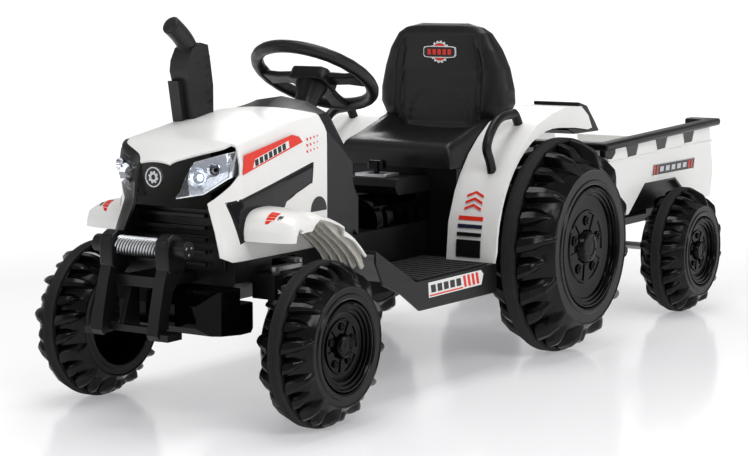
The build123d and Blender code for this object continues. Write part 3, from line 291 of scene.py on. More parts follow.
def mix_paints(settings):
    """Makes every finish of the object."""
    white = tuple(settings.body_colour)
    black = tuple(settings.black_colour)
    PAINTS.update(
        white_plastic=moulded("white_plastic", white, 0.32, 0.25, 900.0, 0.01, 0.12, 0.02),
        black_plastic=moulded("black_plastic", black, 0.33, 0.9, 1100.0, 0.03, 0.0, 0.02, 0.36),
        charcoal_plastic=moulded("charcoal_plastic", (0.017, 0.017, 0.019), 0.38, 1.2, 1300.0, 0.03, 0.0, 0.0, 0.4),
        gloss_black=moulded("gloss_black", (0.0012, 0.0012, 0.0015), 0.10, 0.15, 500.0, 0.03, 0.0, 0.0, 0.14),
        seat_black=moulded("seat_black", (0.0065, 0.0065, 0.0072), 0.36, 1.6, 900.0, 0.03, 0.0, 0.0, 0.42),
        wheel_black=moulded("wheel_black", (0.0024, 0.0024, 0.003), 0.20, 0.5, 800.0, 0.05, 0.0, 0.02, 0.26),
        rubber_band=ribbed_rubber("rubber_band", (0.007, 0.007, 0.0075), 90.0, 0.0006),
        rubber_mat=ribbed_rubber("rubber_mat", (0.014, 0.014, 0.015), 40.0, 0.0006),
        window_gloss=moulded("window_gloss", (0.004, 0.0025, 0.005), 0.06, 0.05, 400.0, 0.02, 0.1, 0.0, 0.4),
        reflector=metal("reflector", (0.86, 0.88, 0.92), 0.06, scale=200.0),
        lens=clear_lens("lens"),
        silver_trim=metal("silver_trim", (0.62, 0.63, 0.65), 0.26, (1.0, 0.1, 1.0)),
        steel=metal("steel", (0.42, 0.42, 0.43), 0.32, (1.0, 0.2, 1.0)),
        cream_liner=moulded("cream_liner", (0.60, 0.58, 0.53), 0.40, 0.6, 600.0, 0.05),
        red_print=printed("red_print", (0.74, 0.030, 0.010)),
        navy_print=printed("navy_print", (0.012, 0.016, 0.05)),
        black_print=printed("black_print", (0.008, 0.008, 0.009)),
        white_print=printed("white_print", (0.78, 0.78, 0.77)),
        silver_print=printed("silver_print", (0.55, 0.56, 0.58), 0.6),
        lamp_glow=glow("lamp_glow", (0.72, 0.85, 1.0), 4.0),
    )


# ---------------------------------------------------------------- meshes
def quads(rows, columns, wrap_rows=False, wrap_columns=False):
    """Corner numbers of the quads of a rows x columns grid, closed round where asked."""
    r = np.arange(rows if wrap_rows else rows - 1)[:, None]
    c = np.arange(columns if wrap_columns else columns - 1)[None, :]
    r2, c2 = (r + 1) % rows, (c + 1) % columns
    corners = (r * columns + c, r * columns + c2, r2 * columns + c2, r2 * columns + c)
    return np.stack([np.broadcast_to(k, (r.size, c.size)) for k in corners], -1).reshape(-1, 4)


def join(*parts):
    """Several (points, faces) as one."""
    points, faces, base = [], [], 0
    for p, f in parts:
        p = np.asarray(p, float).reshape(-1, 3)
        points.append(p)
        faces += [tuple(int(i) + base for i in face) for face in f]
        base += len(p)
    return np.vstack(points), faces


def flip_side(part):
    """The (points, faces) mirrored to the other side of the vehicle, faces kept outward."""
    points, faces = part
    return np.asarray(points).reshape(-1, 3) * (1, -1, 1), [tuple(reversed(tuple(f))) for f in faces]


def piece(name, part, paint, body, slot=None, stands_for=(), bevel=0.0, segments=2, crease=32.0):
    """A finished piece from (points in mm, faces): merged, outward, bevelled, painted and riding on its body."""
    points, faces = part
    mesh = bpy.data.meshes.new(name)
    mesh.from_pydata((np.asarray(points, float).reshape(-1, 3) * MM).tolist(), [], [tuple(f) for f in faces])
    work = bmesh.new()
    work.from_mesh(mesh)
    bmesh.ops.remove_doubles(work, verts=work.verts, dist=1e-6)
    bmesh.ops.recalc_face_normals(work, faces=work.faces)
    work.to_mesh(mesh)
    work.free()
    return finish_piece(name, mesh, paint, body, slot, stands_for, bevel, segments, crease)


def finish_piece(name, mesh, paint, body, slot, stands_for, bevel, segments, crease):
    """Shades, bevels, paints and places a mesh as a piece of the object."""
    mesh.shade_smooth()
    mesh.set_sharp_from_angle(angle=radians(crease))
    mesh.materials.clear()
    mesh.materials.append(PAINTS[paint])
    made = bpy.data.objects.new(name, mesh)
    bpy.context.scene.collection.objects.link(made)
    if bevel:
        edge = made.modifiers.new("Rounded edges", "BEVEL")
        edge.width = bevel * MM
        edge.segments = segments
        edge.limit_method = "ANGLE"
        edge.angle_limit = radians(crease)
        edge.harden_normals = False
    if stands_for:
        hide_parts(*stands_for)
    slot or paint in SLOTS
    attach(made, body)
    return made


SLOTS = {m["slot"] for m in frame["record"]["materials"]}


def rounded(node, paint, bevel=1.0, segments=2, crease=28.0, flat=0.6):
    """A copy of a CAD node with its triangles merged, its flat faces joined and its edges rounded."""
    mesh = frame["nodes"][node].data.copy()
    mesh.name = node + "_finish"
    work = bmesh.new()
    work.from_mesh(mesh)
    bmesh.ops.remove_doubles(work, verts=work.verts, dist=2e-6)
    bmesh.ops.dissolve_limit(work, angle_limit=radians(flat), verts=work.verts, edges=work.edges)
    work.to_mesh(mesh)
    work.free()
    if "custom_normal" in mesh.attributes:
        mesh.attributes.remove(mesh.attributes["custom_normal"])
    body = frame["nodes"][node]["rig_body"]
    return finish_piece(node + "_finish", mesh, paint, body, None, (node,), bevel, segments, crease)


def ring(profile, count, centre):
    """A profile of (offset along Y, radius) turned about a Y axis through a centre."""
    profile = np.asarray(profile, float)
    angle = 2 * pi * np.arange(count) / count
    x = centre[0] + profile[:, 1, None] * np.cos(angle)
    z = centre[2] + profile[:, 1, None] * np.sin(angle)
    y = centre[1] + np.broadcast_to(profile[:, 0, None], x.shape)
    return np.stack([x, y, z], -1)


def turned(profile, count, centre, closed=False):
    """Lathe surface about Y; a closed profile loops back, an open one starts and ends on the axis."""
    points = ring(profile, count, centre)
    return points, quads(len(profile), count, closed, True)


def turned_about(profile, count, origin, axis, closed=False):
    """Lathe surface about any axis; the profile is (distance along it, radius)."""
    axis = np.asarray(axis, float) / np.linalg.norm(axis)
    side = np.cross(axis, (0.0, 1.0, 0.0) if abs(axis[1]) < 0.9 else (1.0, 0.0, 0.0))
    side /= np.linalg.norm(side)
    other = np.cross(axis, side)
    profile = np.asarray(profile, float)
    angle = 2 * pi * np.arange(count) / count
    spread = np.cos(angle)[None, :, None] * side + np.sin(angle)[None, :, None] * other
    points = np.asarray(origin, float) + profile[:, 0, None, None] * axis + profile[:, 1, None, None] * spread
    return points, quads(len(profile), count, closed, True)


# columns (first, second, level) of an outline carried along each axis, put in the order x, y, z
AXIS_ORDER = {"x": [2, 0, 1], "y": [0, 2, 1], "z": [0, 1, 2]}


def prism(outline, low, high, axis="y"):
    """A flat outline carried between two levels along an axis: outline (x, z) for y, (y, z) for x, (x, y) for z."""
    outline = np.asarray(outline, float)
    count = len(outline)
    levels = []
    for level in (low, high):
        columns = np.column_stack([outline, np.full(count, level)])
        levels.append(columns[:, AXIS_ORDER[axis]])
    sides = quads(2, count, False, True)
    caps = [tuple(range(count)), tuple(range(2 * count - 1, count - 1, -1))]
    return np.vstack(levels), [*map(tuple, sides), *caps]


def smooth_path(points, count):
    """A Catmull-Rom curve through the points, sampled evenly in its parameter."""
    p = np.asarray(points, float)
    p = np.vstack([2 * p[0] - p[1], p, 2 * p[-1] - p[-2]])
    t = np.linspace(0, len(points) - 1 - 1e-9, count)
    i = t.astype(int)
    f = (t - i)[:, None]
    a, b, c, d = p[i], p[i + 1], p[i + 2], p[i + 3]
    return 0.5 * (2 * b + (c - a) * f + (2 * a - 5 * b + 4 * c - d) * f**2 + (3 * b - 3 * c + d - a) * f**3)


def ahead(distance):
    """X of a place given by its distance ahead of the front axle."""
    return FRONT_AXLE + distance


# ---------------------------------------------------------------- wheels
LUG_PAIRS = 12
BAND_DEPTH = 5.0
LUG_ROWS = np.array([0.0, 0.02, 0.14, 0.28, 0.42, 0.55, 0.66, 0.76, 0.85, 0.93, 1.0])


def tread_columns(across):
    """Phases (0 to 2 per pair of lugs) and heights of the columns at each row: a long lug, then a short one.

    Each lug has a steep leading side, a ridge near it and a wide trailing face; it narrows outwards and leans back."""
    lean = 0.30 * across
    long_width = np.interp(across, [0.0, 0.45, 0.8, 1.0], [0.37, 0.33, 0.22, 0.10])
    short_width = np.interp(across, [0.0, 0.35, 0.62, 1.0], [0.33, 0.30, 0.10, 0.06])
    long_tall = np.interp(across, [0.0, 0.9, 1.0], [1.0, 0.95, 0.30])
    short_tall = np.interp(across, [0.0, 0.38, 0.62, 0.72, 1.0], [0.94, 0.90, 0.45, 0.0, 0.0])
    phases, heights = [], []
    for middle, width, tall in ((0.5, long_width, long_tall), (1.5, short_width, short_tall)):
        centre = middle + lean
        for offset, height in (
            (-0.5 + 0 * width, 0.0), (-width - 0.03, 0.0), (-width, 0.93), (-0.45 * width, 1.0),
            (0.35 * width, 0.80), (0.75 * width, 0.55), (width + 0.08, 0.0),
        ):
            phases.append(centre + offset)
            heights.append(height * tall)
    return np.array(phases), np.array(heights)


def tyre(radius, half, dish, band_half, bore):
    """Closed loop of (offset, radius) turned about the axle; between the shoulders and the band the radius and offset
    run from the carcass line to the envelope line by the lug height of that row and column."""
    rows = LUG_ROWS
    start = (band_half + 1.0) / half
    carcass_y = half * np.interp(rows, [0, 0.35, 0.7, 1], [start, 0.50, 0.78, 0.975])
    carcass_r = radius * np.interp(rows, [0, 0.35, 0.7, 1], [0.865, 0.835, 0.785, 0.725])
    outer_y = half * np.interp(rows, [0, 0.02, 0.42, 0.76, 0.93, 1], [start, start + 0.03, 0.58, 0.86, 0.975, 0.998])
    outer_r = radius * np.interp(rows, [0, 0.02, 0.42, 0.76, 0.93, 1], [0.965, 0.985, 0.945, 0.875, 0.785, 0.735])
    phases, heights = tread_columns(rows)
    heights[:, 0] = 0.0
    angle = (phases[None] + 2.0 * np.arange(LUG_PAIRS)[:, None, None]).reshape(-1, len(rows)) * (pi / LUG_PAIRS)
    tall = np.tile(heights, (LUG_PAIRS, 1))
    lug_y = carcass_y + tall * (outer_y - carcass_y)
    lug_r = carcass_r + tall * (outer_r - carcass_r)
    straight = angle[:, -1]
    web_out, web_in, boss = half - 18.0, half - 26.0, bore + 8.0
    wall = radius * 0.725
    plain_outer = [
        (half - 0.4, wall - 1.5), (half - 1.6, wall - 2.6), (half - 1.6, dish + 7.5), (half - 0.1, dish + 6.5),
        (half - 0.1, dish + 2.0), (half - 1.2, dish), (web_out, dish - 4), (web_out, boss), (web_out + 4, boss),
        (web_out + 4, bore),
    ]
    plain_inner = [
        (4 - half, bore), (4 - half, boss), (web_in, boss), (web_in, dish - 4), (1.2 - half, dish),
        (0.1 - half, dish + 2.0), (0.1 - half, dish + 6.5), (1.6 - half, dish + 7.5), (1.6 - half, wall - 2.6),
        (0.4 - half, wall - 1.5),
    ]
    count = len(straight)
    groove = radius - BAND_DEPTH
    loops = [(lug_y[:, k], lug_r[:, k], angle[:, k]) for k in range(len(rows))]
    loops += [(np.full(count, y), np.full(count, r), straight) for y, r in plain_outer + plain_inner]
    loops += [(-lug_y[:, k], lug_r[:, k], angle[:, k]) for k in reversed(range(len(rows)))]
    loops += [(np.full(count, y), np.full(count, groove), angle[:, 0]) for y in (-band_half - 1.0, band_half + 1.0)]
    y, r, a = (np.array(column) for column in zip(*loops))
    return np.stack([r * np.cos(a), y, r * np.sin(a)], -1), quads(len(y), count, True, True)


def band(radius, band_half):
    """Closed loop turned about the axle: an outer face waved into fine ribs, thick as the groove is deep."""
    y = np.linspace(-band_half, band_half, 57)
    ribs = 0.55 * np.cos(2 * pi * 7 * (y + band_half) / (2 * band_half)) - 0.55
    edge = -0.9 * (np.abs(y) / band_half) ** 8
    face = np.column_stack([y, radius - 0.1 + ribs + edge])
    return np.vstack([face, [(band_half, radius - BAND_DEPTH), (-band_half, radius - BAND_DEPTH)]])


def dome(x, y, z, radius, height, count=10):
    """A rounded bolt head standing out along Y: three rings shrinking as a quarter circle."""
    turn = np.array([0.0, 0.0, 0.5, 1.0, 1.35, 1.5707])
    rise = np.array([-0.3, 0.55, 0.75, 0.93, 0.99, 1.0]) * height
    rings = np.column_stack([rise, radius * np.maximum(np.cos(turn), 0.0)])
    return turned(rings, count, (x, y, z))


def hub(half, dish):
    """Stepped rings down to a flat floor, then a raised middle with a shallow dome, closed behind."""
    floor = half - 10.5
    steps = [
        (half - 13.8, 0.0), (half - 13.8, dish - 4.6), (half - 2.2, dish - 2.0), (half - 1.2, dish - 2.6),
        (half - 0.9, dish - 4.2), (half - 2.2, dish - 5.4), (half - 3.6, dish - 5.8), (half - 3.6, dish - 9.0),
        (half - 4.2, dish - 9.8), (half - 6.2, dish - 10.2), (half - 6.2, dish - 13.6), (half - 7.0, dish - 14.5),
        (half - 9.4, dish - 15.2), (floor, 0.70 * dish - 1.5), (floor, 0.60 * dish), (floor + 1.6, 0.585 * dish),
        (floor + 1.6, 0.555 * dish), (floor, 0.54 * dish), (floor, 0.28 * dish), (half - 5.2, 0.255 * dish),
        (half - 3.4, 0.235 * dish), (half - 2.6, 0.20 * dish), (half - 2.8, 0.155 * dish), (half - 3.6, 0.145 * dish),
        (half - 3.6, 0.10 * dish), (half - 3.0, 0.0),
    ]
    parts = [turned(steps, 96, (0, 0, 0))]
    for k in range(5):
        a = 2 * pi * (k + 0.25) / 5
        x, z = 0.42 * dish * cos(a), 0.42 * dish * sin(a)
        parts.append(turned([(floor - 1, 0.085 * dish), (floor + 2.0, 0.08 * dish), (floor + 2.6, 0.07 * dish),
                             (floor + 2.6, 0.055 * dish), (floor + 1.4, 0.05 * dish)], 18, (x, 0, z)))
        parts.append(dome(x, floor + 0.8, z, 0.042 * dish, 0.04 * dish))
    for k in range(5):
        a = 2 * pi * (k + 0.75) / 5
        parts.append(dome(0.19 * dish * cos(a), half - 3.1, 0.19 * dish * sin(a), 0.018 * dish, 1.2, 8))
    return join(*parts)


def blades(half, dish):
    """Five arched cut-outs in the floor, shown as thin raised webs between the bolts: a bar along each ray."""
    floor = half - 10.5
    parts = []
    for k in range(5):
        a = 2 * pi * (k + 0.75) / 5
        inner, outer, width = 0.29 * dish, 0.575 * dish, 0.05 * dish
        rays = []
        for r, w in ((inner, width), (outer, 1.7 * width)):
            for s in (-1, 1):
                rays.append((r * cos(a) - s * w * sin(a), r * sin(a) + s * w * cos(a)))
        outline = [rays[0], rays[2], rays[3], rays[1]]
        parts.append(prism(outline, floor - 0.5, floor + 1.5))
    return join(*parts)


def shifted(part, x, y, z):
    """The (points, faces) carried to a place."""
    points, faces = part
    return np.asarray(points, float).reshape(-1, 3) + (x, y, z), faces


def make_wheels():
    """Six wheels, each a lugged tyre, a ribbed traction band and a glossy hub cover."""
    for place, (x, y, radius, half, dish, band_half) in WHEELS.items():
        bore = 6.1 if place != "front" else 5.1
        parts = (
            ("wheel", tyre(radius, half, dish, band_half, bore), "wheel_black", 0.5),
            ("band", (ring(band(radius, band_half), 96, (0, 0, 0)), quads(59, 96, True, True)), "rubber_band", 0.0),
            ("cover", join(hub(half, dish), blades(half, dish)), "gloss_black", 0.0),
        )
        for kind, part, paint, bevel in parts:
            left = shifted(part, x, y, radius)
            for side, side_part in (("left", left), ("right", flip_side(left))):
                piece(
                    f"{place}_{kind}_{side}_finish", side_part, paint, f"{place}_{side}_wheel",
                    stands_for=(f"{place}_{kind}_{side}",), bevel=bevel, segments=1, crease=24.0,
                )


# ---------------------------------------------------------------- seat
CUSHION_HALF_WIDTH = 90.6
BADGE_HEIGHT = 425.0


def soft_step(value, low, high):
    """0 below low, 1 above high, with a smooth cubic in between."""
    t = np.clip((value - low) / (high - low), 0, 1)
    return t * t * (3 - 2 * t)


def seat_back():
    """Stacked cross-sections from the cushion to the top. Each is a rounded rectangle in plan: half width and front
    and rear line depend on the height, the sides come forward as bolsters, and the middle panel is sunk."""
    z = np.concatenate([np.linspace(300, 452, 54), 466.0 - 14.0 * (1 - np.linspace(0.08, 1, 12)) ** 2.2])
    half = np.interp(
        z, [268, 322, 333, 352, 372, 402, 430, 452, 460, 466], [90, 90.5, 97, 107, 107, 101, 90, 76, 64, 40]
    )
    front = np.interp(z, [268, 345, 400, 452, 462, 466], [-545, -548, -553, -551, -556, -564])
    rear = np.interp(z, [268, 350, 420, 452, 462, 466], [-605, -602, -590, -580, -572, -567])
    turn = np.linspace(0, 2 * pi, 144, endpoint=False)
    across = np.sign(np.cos(turn)) * np.abs(np.cos(turn)) ** 0.42
    deep = np.sign(np.sin(turn)) * np.abs(np.sin(turn)) ** 0.62
    y = half[:, None] * across
    depth = (front - rear)[:, None] / 2
    x = (front + rear)[:, None] / 2 + depth * deep
    facing = np.clip(deep, 0, 1)[None, :]
    side = np.abs(y)
    zz = np.broadcast_to(z[:, None], y.shape)
    edge = 66.0 - 10.0 * soft_step(zz, 405, 452)
    bolster = soft_step(side, edge, edge + 9) * soft_step(zz, 318, 345) * (1 - soft_step(zz, 425, 462))
    crease = -1.8 * np.exp(-((side - edge) / 2.0) ** 2) * soft_step(zz, 322, 340) * (1 - soft_step(zz, 425, 446))
    arch = (side / 50.0) ** 2.4 + np.clip((zz - 322) / 56.0, 0, 9) ** 2.4
    sunk = -2.6 * (1 - soft_step(arch, 0.93, 1.07)) * soft_step(zz, 319, 323)
    x = x + facing * (7.0 * bolster + crease + sunk)
    points = np.stack([ahead(x), y, zz], -1)
    faces = [tuple(f) for f in quads(len(z), len(turn), False, True)]
    last = (len(z) - 1) * len(turn)
    faces += [tuple(range(len(turn))), tuple(range(last + len(turn) - 1, last - 1, -1))]
    return points, faces


def seat_cushion():
    """Cross-sections from the front lip to the back rest. Each runs up one side, over the seat and down the other:
    the top height depends on the distance, with raised flanks that grow towards the back and a rolled front lip."""
    a = np.concatenate([[-429.0, -427.6, -427.2, -428.0, -430.5, -435.0, -441.0], np.linspace(-448, -566, 26)])
    top = np.interp(-a, [427, 431, 436, 446, 520, 540, 566], [280, 299, 303.5, 306, 314, 318, 322])
    top[:5] = (272.0, 280.0, 288.0, 294.0, 299.0)
    t = np.linspace(-1, 1, 73)
    y = CUSHION_HALF_WIDTH * np.sign(t) * np.abs(t) ** 0.9
    flank = soft_step(np.abs(y), 58, 78)[None, :] * soft_step(-a, 440, 530)[:, None] * 13.0
    sink = -3.0 * np.cos(np.clip(y / 60.0, -1, 1) * pi / 2)[None, :] * soft_step(-a, 440, 470)[:, None]
    roll = 9.0 * np.clip((np.abs(y) - 82) / 8.6, 0, 1)[None, :] ** 2.2
    z = np.maximum(top[:, None] + flank + sink - roll, 269.0)
    points = np.stack([np.broadcast_to(ahead(a)[:, None], z.shape), np.broadcast_to(y, z.shape), z], -1)
    low = points.copy()
    low[:, :, 2] = 268.6
    rows, columns = z.shape
    faces = [tuple(f) for f in quads(rows, columns)]
    size = rows * columns
    faces += [tuple(size + i for i in reversed(f)) for f in quads(rows, columns)]
    rim = [(i, i + 1, size + i + 1, size + i) for i in range(columns - 1)]
    rim += [(size - columns + i + 1, size - columns + i, 2 * size - columns + i, 2 * size - columns + i + 1)
            for i in range(columns - 1)]
    rim += [((r + 1) * columns, r * columns, size + r * columns, size + (r + 1) * columns) for r in range(rows - 1)]
    rim += [(r * columns + columns - 1, (r + 1) * columns - 1 + columns, size + (r + 2) * columns - 1,
             size + (r + 1) * columns - 1) for r in range(rows - 1)]
    return np.vstack([points.reshape(-1, 3), low.reshape(-1, 3)]), faces + rim


def make_seat():
    """Moulded bucket seat, its trim line and the round emblem on the back rest."""
    piece("seat_back_shell", seat_back(), "seat_black", "tractor", stands_for=("seat",), crease=50.0)
    piece("seat_cushion_shell", seat_cushion(), "seat_black", "tractor", stands_for=("seat",), crease=50.0)
    # Painted highlight: a silver strip where the cushion meets the seat base, standing for the line of light caught
    # there.
    painted_highlight = prism([(ahead(-443.6), 269.2), (ahead(-443.6), 271.4), (ahead(-442.2), 271.4), (ahead(-442.2), 269.2)],
                 -90, 90)
    piece("seat_highlight_line", painted_highlight, "silver_trim", "tractor", bevel=0.4)
    face_x = ahead(-550.2)
    turn = np.linspace(0, 2 * pi, 96, endpoint=False)
    teeth = gear_outline(16.2, 14.0, turn, BADGE_HEIGHT)
    inside = circle(12.6, turn, BADGE_HEIGHT)
    disc = circle(11.8, turn, BADGE_HEIGHT)
    bar = [(np.sign(cos(t)) * (27 - 3 * (1 - abs(cos(t)) ** 0.3)) * abs(cos(t)) ** 0.25,
            BADGE_HEIGHT + 8.4 * np.sign(sin(t)) * abs(sin(t)) ** 0.35) for t in turn]
    inset = [(y * 0.95, BADGE_HEIGHT + (z - BADGE_HEIGHT) * 0.84) for y, z in bar]
    cogs = frame_ring(teeth, inside, face_x - 4, face_x + 0.5, "x")
    piece("seat_badge_gear", cogs, "white_print", "tractor", "seat_black")
    piece("seat_badge_disc", prism(disc, face_x - 4, face_x + 0.6, "x"), "red_print", "tractor", "seat_black")
    piece("seat_badge_plate", prism(bar, face_x - 4, face_x + 0.9, "x"), "white_print", "tractor", "seat_black")
    piece("seat_badge_inset", prism(inset, face_x - 4, face_x + 1.2, "x"), "black_print", "tractor", "seat_black")
    blocks = [prism([(y, 421), (y + 5.5, 421), (y + 5.5, 429), (y, 429)], face_x - 1, face_x + 1.5, "x")
              for y in np.arange(-19.5, 18, 8.4)]
    piece("seat_badge_blocks", join(*blocks), "red_print", "tractor", "seat_black")


def circle(radius, turn, height):
    """Outline of a circle about the middle line at a height, at the given angles."""
    return [(radius * cos(t), height + radius * sin(t)) for t in turn]


def gear_outline(tip, root, turn, height):
    """Outline of a gear: three angles in turn on the tip circle, then three on the root circle."""
    reach = [tip if (k // 3) % 2 else root for k in range(len(turn))]
    return [(r * cos(t), height + r * sin(t)) for r, t in zip(reach, turn)]


def frame_ring(outer, inner, low, high, axis="y"):
    """A flat ring between two outlines with the same count of points, carried between two levels."""
    count = len(outer)
    loops = []
    for outline, level in ((outer, low), (outer, high), (inner, high), (inner, low)):
        loops.append(prism(outline, level, level, axis)[0][:count])
    return np.vstack(loops), quads(4, count, True, True)


# ---------------------------------------------------------------- printed graphics
HOOD_HALF_WIDTH = 93.0
FILM_LIFTS = (-0.3, 0.4)


def across(side, inner, outer):
    """The lower and the higher Y of something between two distances from the middle, on either side."""
    return (inner, outer) if side > 0 else (-outer, -inner)


def on_each_side():
    """1 and "left", then -1 and "right"."""
    return ((1, "left"), (-1, "right"))


def sided(part, side):
    """A part made for the left side, or its mirror image for the right one."""
    return part if side > 0 else flip_side(part)


def sticker(name, outline, level, side, paint, body, depth=0.35, slot="white_plastic"):
    """A thin printed film on a face across Y: the outline (x, z) stands off the face by its thickness."""
    piece(name, prism(outline, *across(side, level - 0.25, level + depth)), paint, body, slot)


def points_ahead(outline):
    """An outline given as distances ahead of the front axle and heights, in the object's frame."""
    return [(ahead(a), z) for a, z in outline]


def make_graphics():
    """Red band, blocks, fading dots and half disc on the hood; stripes, block and chevrons on the rear fenders."""
    for side, tag in on_each_side():
        level = HOOD_HALF_WIDTH
        red = points_ahead([(44, 323), (47, 300), (-74, 331), (-66, 338), (-52, 341)])
        sticker(f"hood_band_{tag}", red, level, side, "red_print", "tractor")
        inset = points_ahead([(28, 306.5), (24, 317), (-44, 334.5), (-46, 326)])
        sticker(f"hood_band_inset_{tag}", inset, level, side, "white_print", "tractor", 0.5)
        blocks = [prism(points_ahead([(a, z), (a + 1.5, z + 7.4), (a - 5.0, z + 9.1), (a - 6.5, z + 1.7)]),
                        *across(side, level, level + 0.65))
                  for a, z in [(23 - 9.2 * k, 308.4 + 2.42 * k) for k in range(7)]]
        piece(f"hood_band_blocks_{tag}", join(*blocks), "black_print", "tractor", "white_plastic")
        dots = []
        for column in range(4):
            for row in range(3):
                size = 2.6 - 0.45 * column
                a, z = -82 - 7.5 * column, 334.5 - 7.5 * row + 0.8 * column
                corners = points_ahead([(a, z), (a - size, z + 0.6), (a - size - 1.2, z - size), (a - 1.2, z - size)])
                dots.append(prism(corners, *across(side, level - 0.2, level + 0.35)))
        piece(f"hood_dots_{tag}", join(*dots), "red_print", "tractor", "white_plastic")
        arc = [(ahead(-108 + 17 * cos(t)), 243 + 18 * sin(t)) for t in np.linspace(0, pi, 24)]
        sticker(f"hood_half_disc_{tag}", arc, level, side, "window_gloss", "tractor", 0.6, "window_gloss")
        fender = (
            ("fender_red_bar", 201.0, 206.5, "red_print"), ("fender_navy_bar", 190.5, 195.5, "navy_print"),
            ("fender_black_bar", 179.5, 184.5, "black_print"), ("fender_block", 151.0, 174.5, "black_print"),
        )
        for name, low, high, paint in fender:
            curved_bar(f"{name}_{tag}", side, 108, 146, low, high, paint)
        for k in range(3):
            chevron(f"fender_chevron_{k + 1}_{tag}", side, 127, 214.5 + 8.5 * k)


def fender_face(z):
    """Distance of the rear fender's front face from the front axle at a height, from its outline in polar form."""
    angles = np.linspace(-3, 60, 120)
    radii = np.interp(angles, [-3, 30, 38, 50, 61, 72], [172, 172, 172.5, 175, 178, 183])
    x = REAR_AXLE + radii * np.cos(np.radians(angles))
    height = REAR_RADIUS + radii * np.sin(np.radians(angles))
    return np.interp(z, height, x)


def curved_bar(name, side, low_y, high_y, low_z, high_z, paint):
    """A film wrapped on the fender's front face: rows by height follow the face, columns run across it."""
    z = np.linspace(low_z, high_z, 8)
    y = np.linspace(low_y, high_y, 3)
    face = fender_face(z)
    grids = []
    for lift in FILM_LIFTS:
        columns = np.broadcast_arrays((face + lift)[:, None], y[None, :], z[:, None])
        grids.append(np.stack(columns, -1))
    part = closed_sheet(*grids)
    piece(name, sided(part, side), paint, "tractor", "white_plastic")


def closed_sheet(low, high):
    """Two matching grids joined round their rims into a closed thin solid."""
    rows, columns = low.shape[:2]
    size = rows * columns
    index = np.arange(size).reshape(rows, columns)
    rim = np.concatenate([index[0], index[1:, -1], index[-1, -2::-1], index[-2:0:-1, 0]])
    following = np.roll(rim, -1)
    faces = [tuple(f) for f in quads(rows, columns)]
    faces += [tuple(size + i for i in reversed(f)) for f in faces]
    faces += [(a, size + a, size + b, b) for a, b in zip(rim.tolist(), following.tolist())]
    return np.vstack([low.reshape(-1, 3), high.reshape(-1, 3)]), faces


def chevron(name, side, y, z):
    """An arrow of two slanting strokes on the fender face, pointing up: y to each side, height falls away."""
    spread = np.array([-13.0, 0.0, 13.0])
    rise = np.array([0.0, 5.5, 0.0])
    grids = []
    for lift in FILM_LIFTS:
        rows = [np.stack([fender_face(z + rise + step) + lift, y + spread, z + rise + step], -1)
                for step in (0.0, 3.2)]
        grids.append(np.array(rows))
    part = closed_sheet(*grids)
    piece(name, sided(part, side), "red_print", "tractor", "white_plastic")


# ---------------------------------------------------------------- fenders
# upper line of the front fender: (distance ahead of the front axle, height)
FRONT_FENDER_LINE = [(46, 222), (46.6, 236), (41, 250), (28, 257.6), (4, 259.4), (-16, 256.6), (-46, 247.6),
                     (-78, 232.6), (-104, 213.6), (-121, 198.0)]
FRONT_FENDER_INNER = 93.2
FRONT_FENDER_WIDTH = 66.8
FRONT_FENDER_CROWN = 20.0


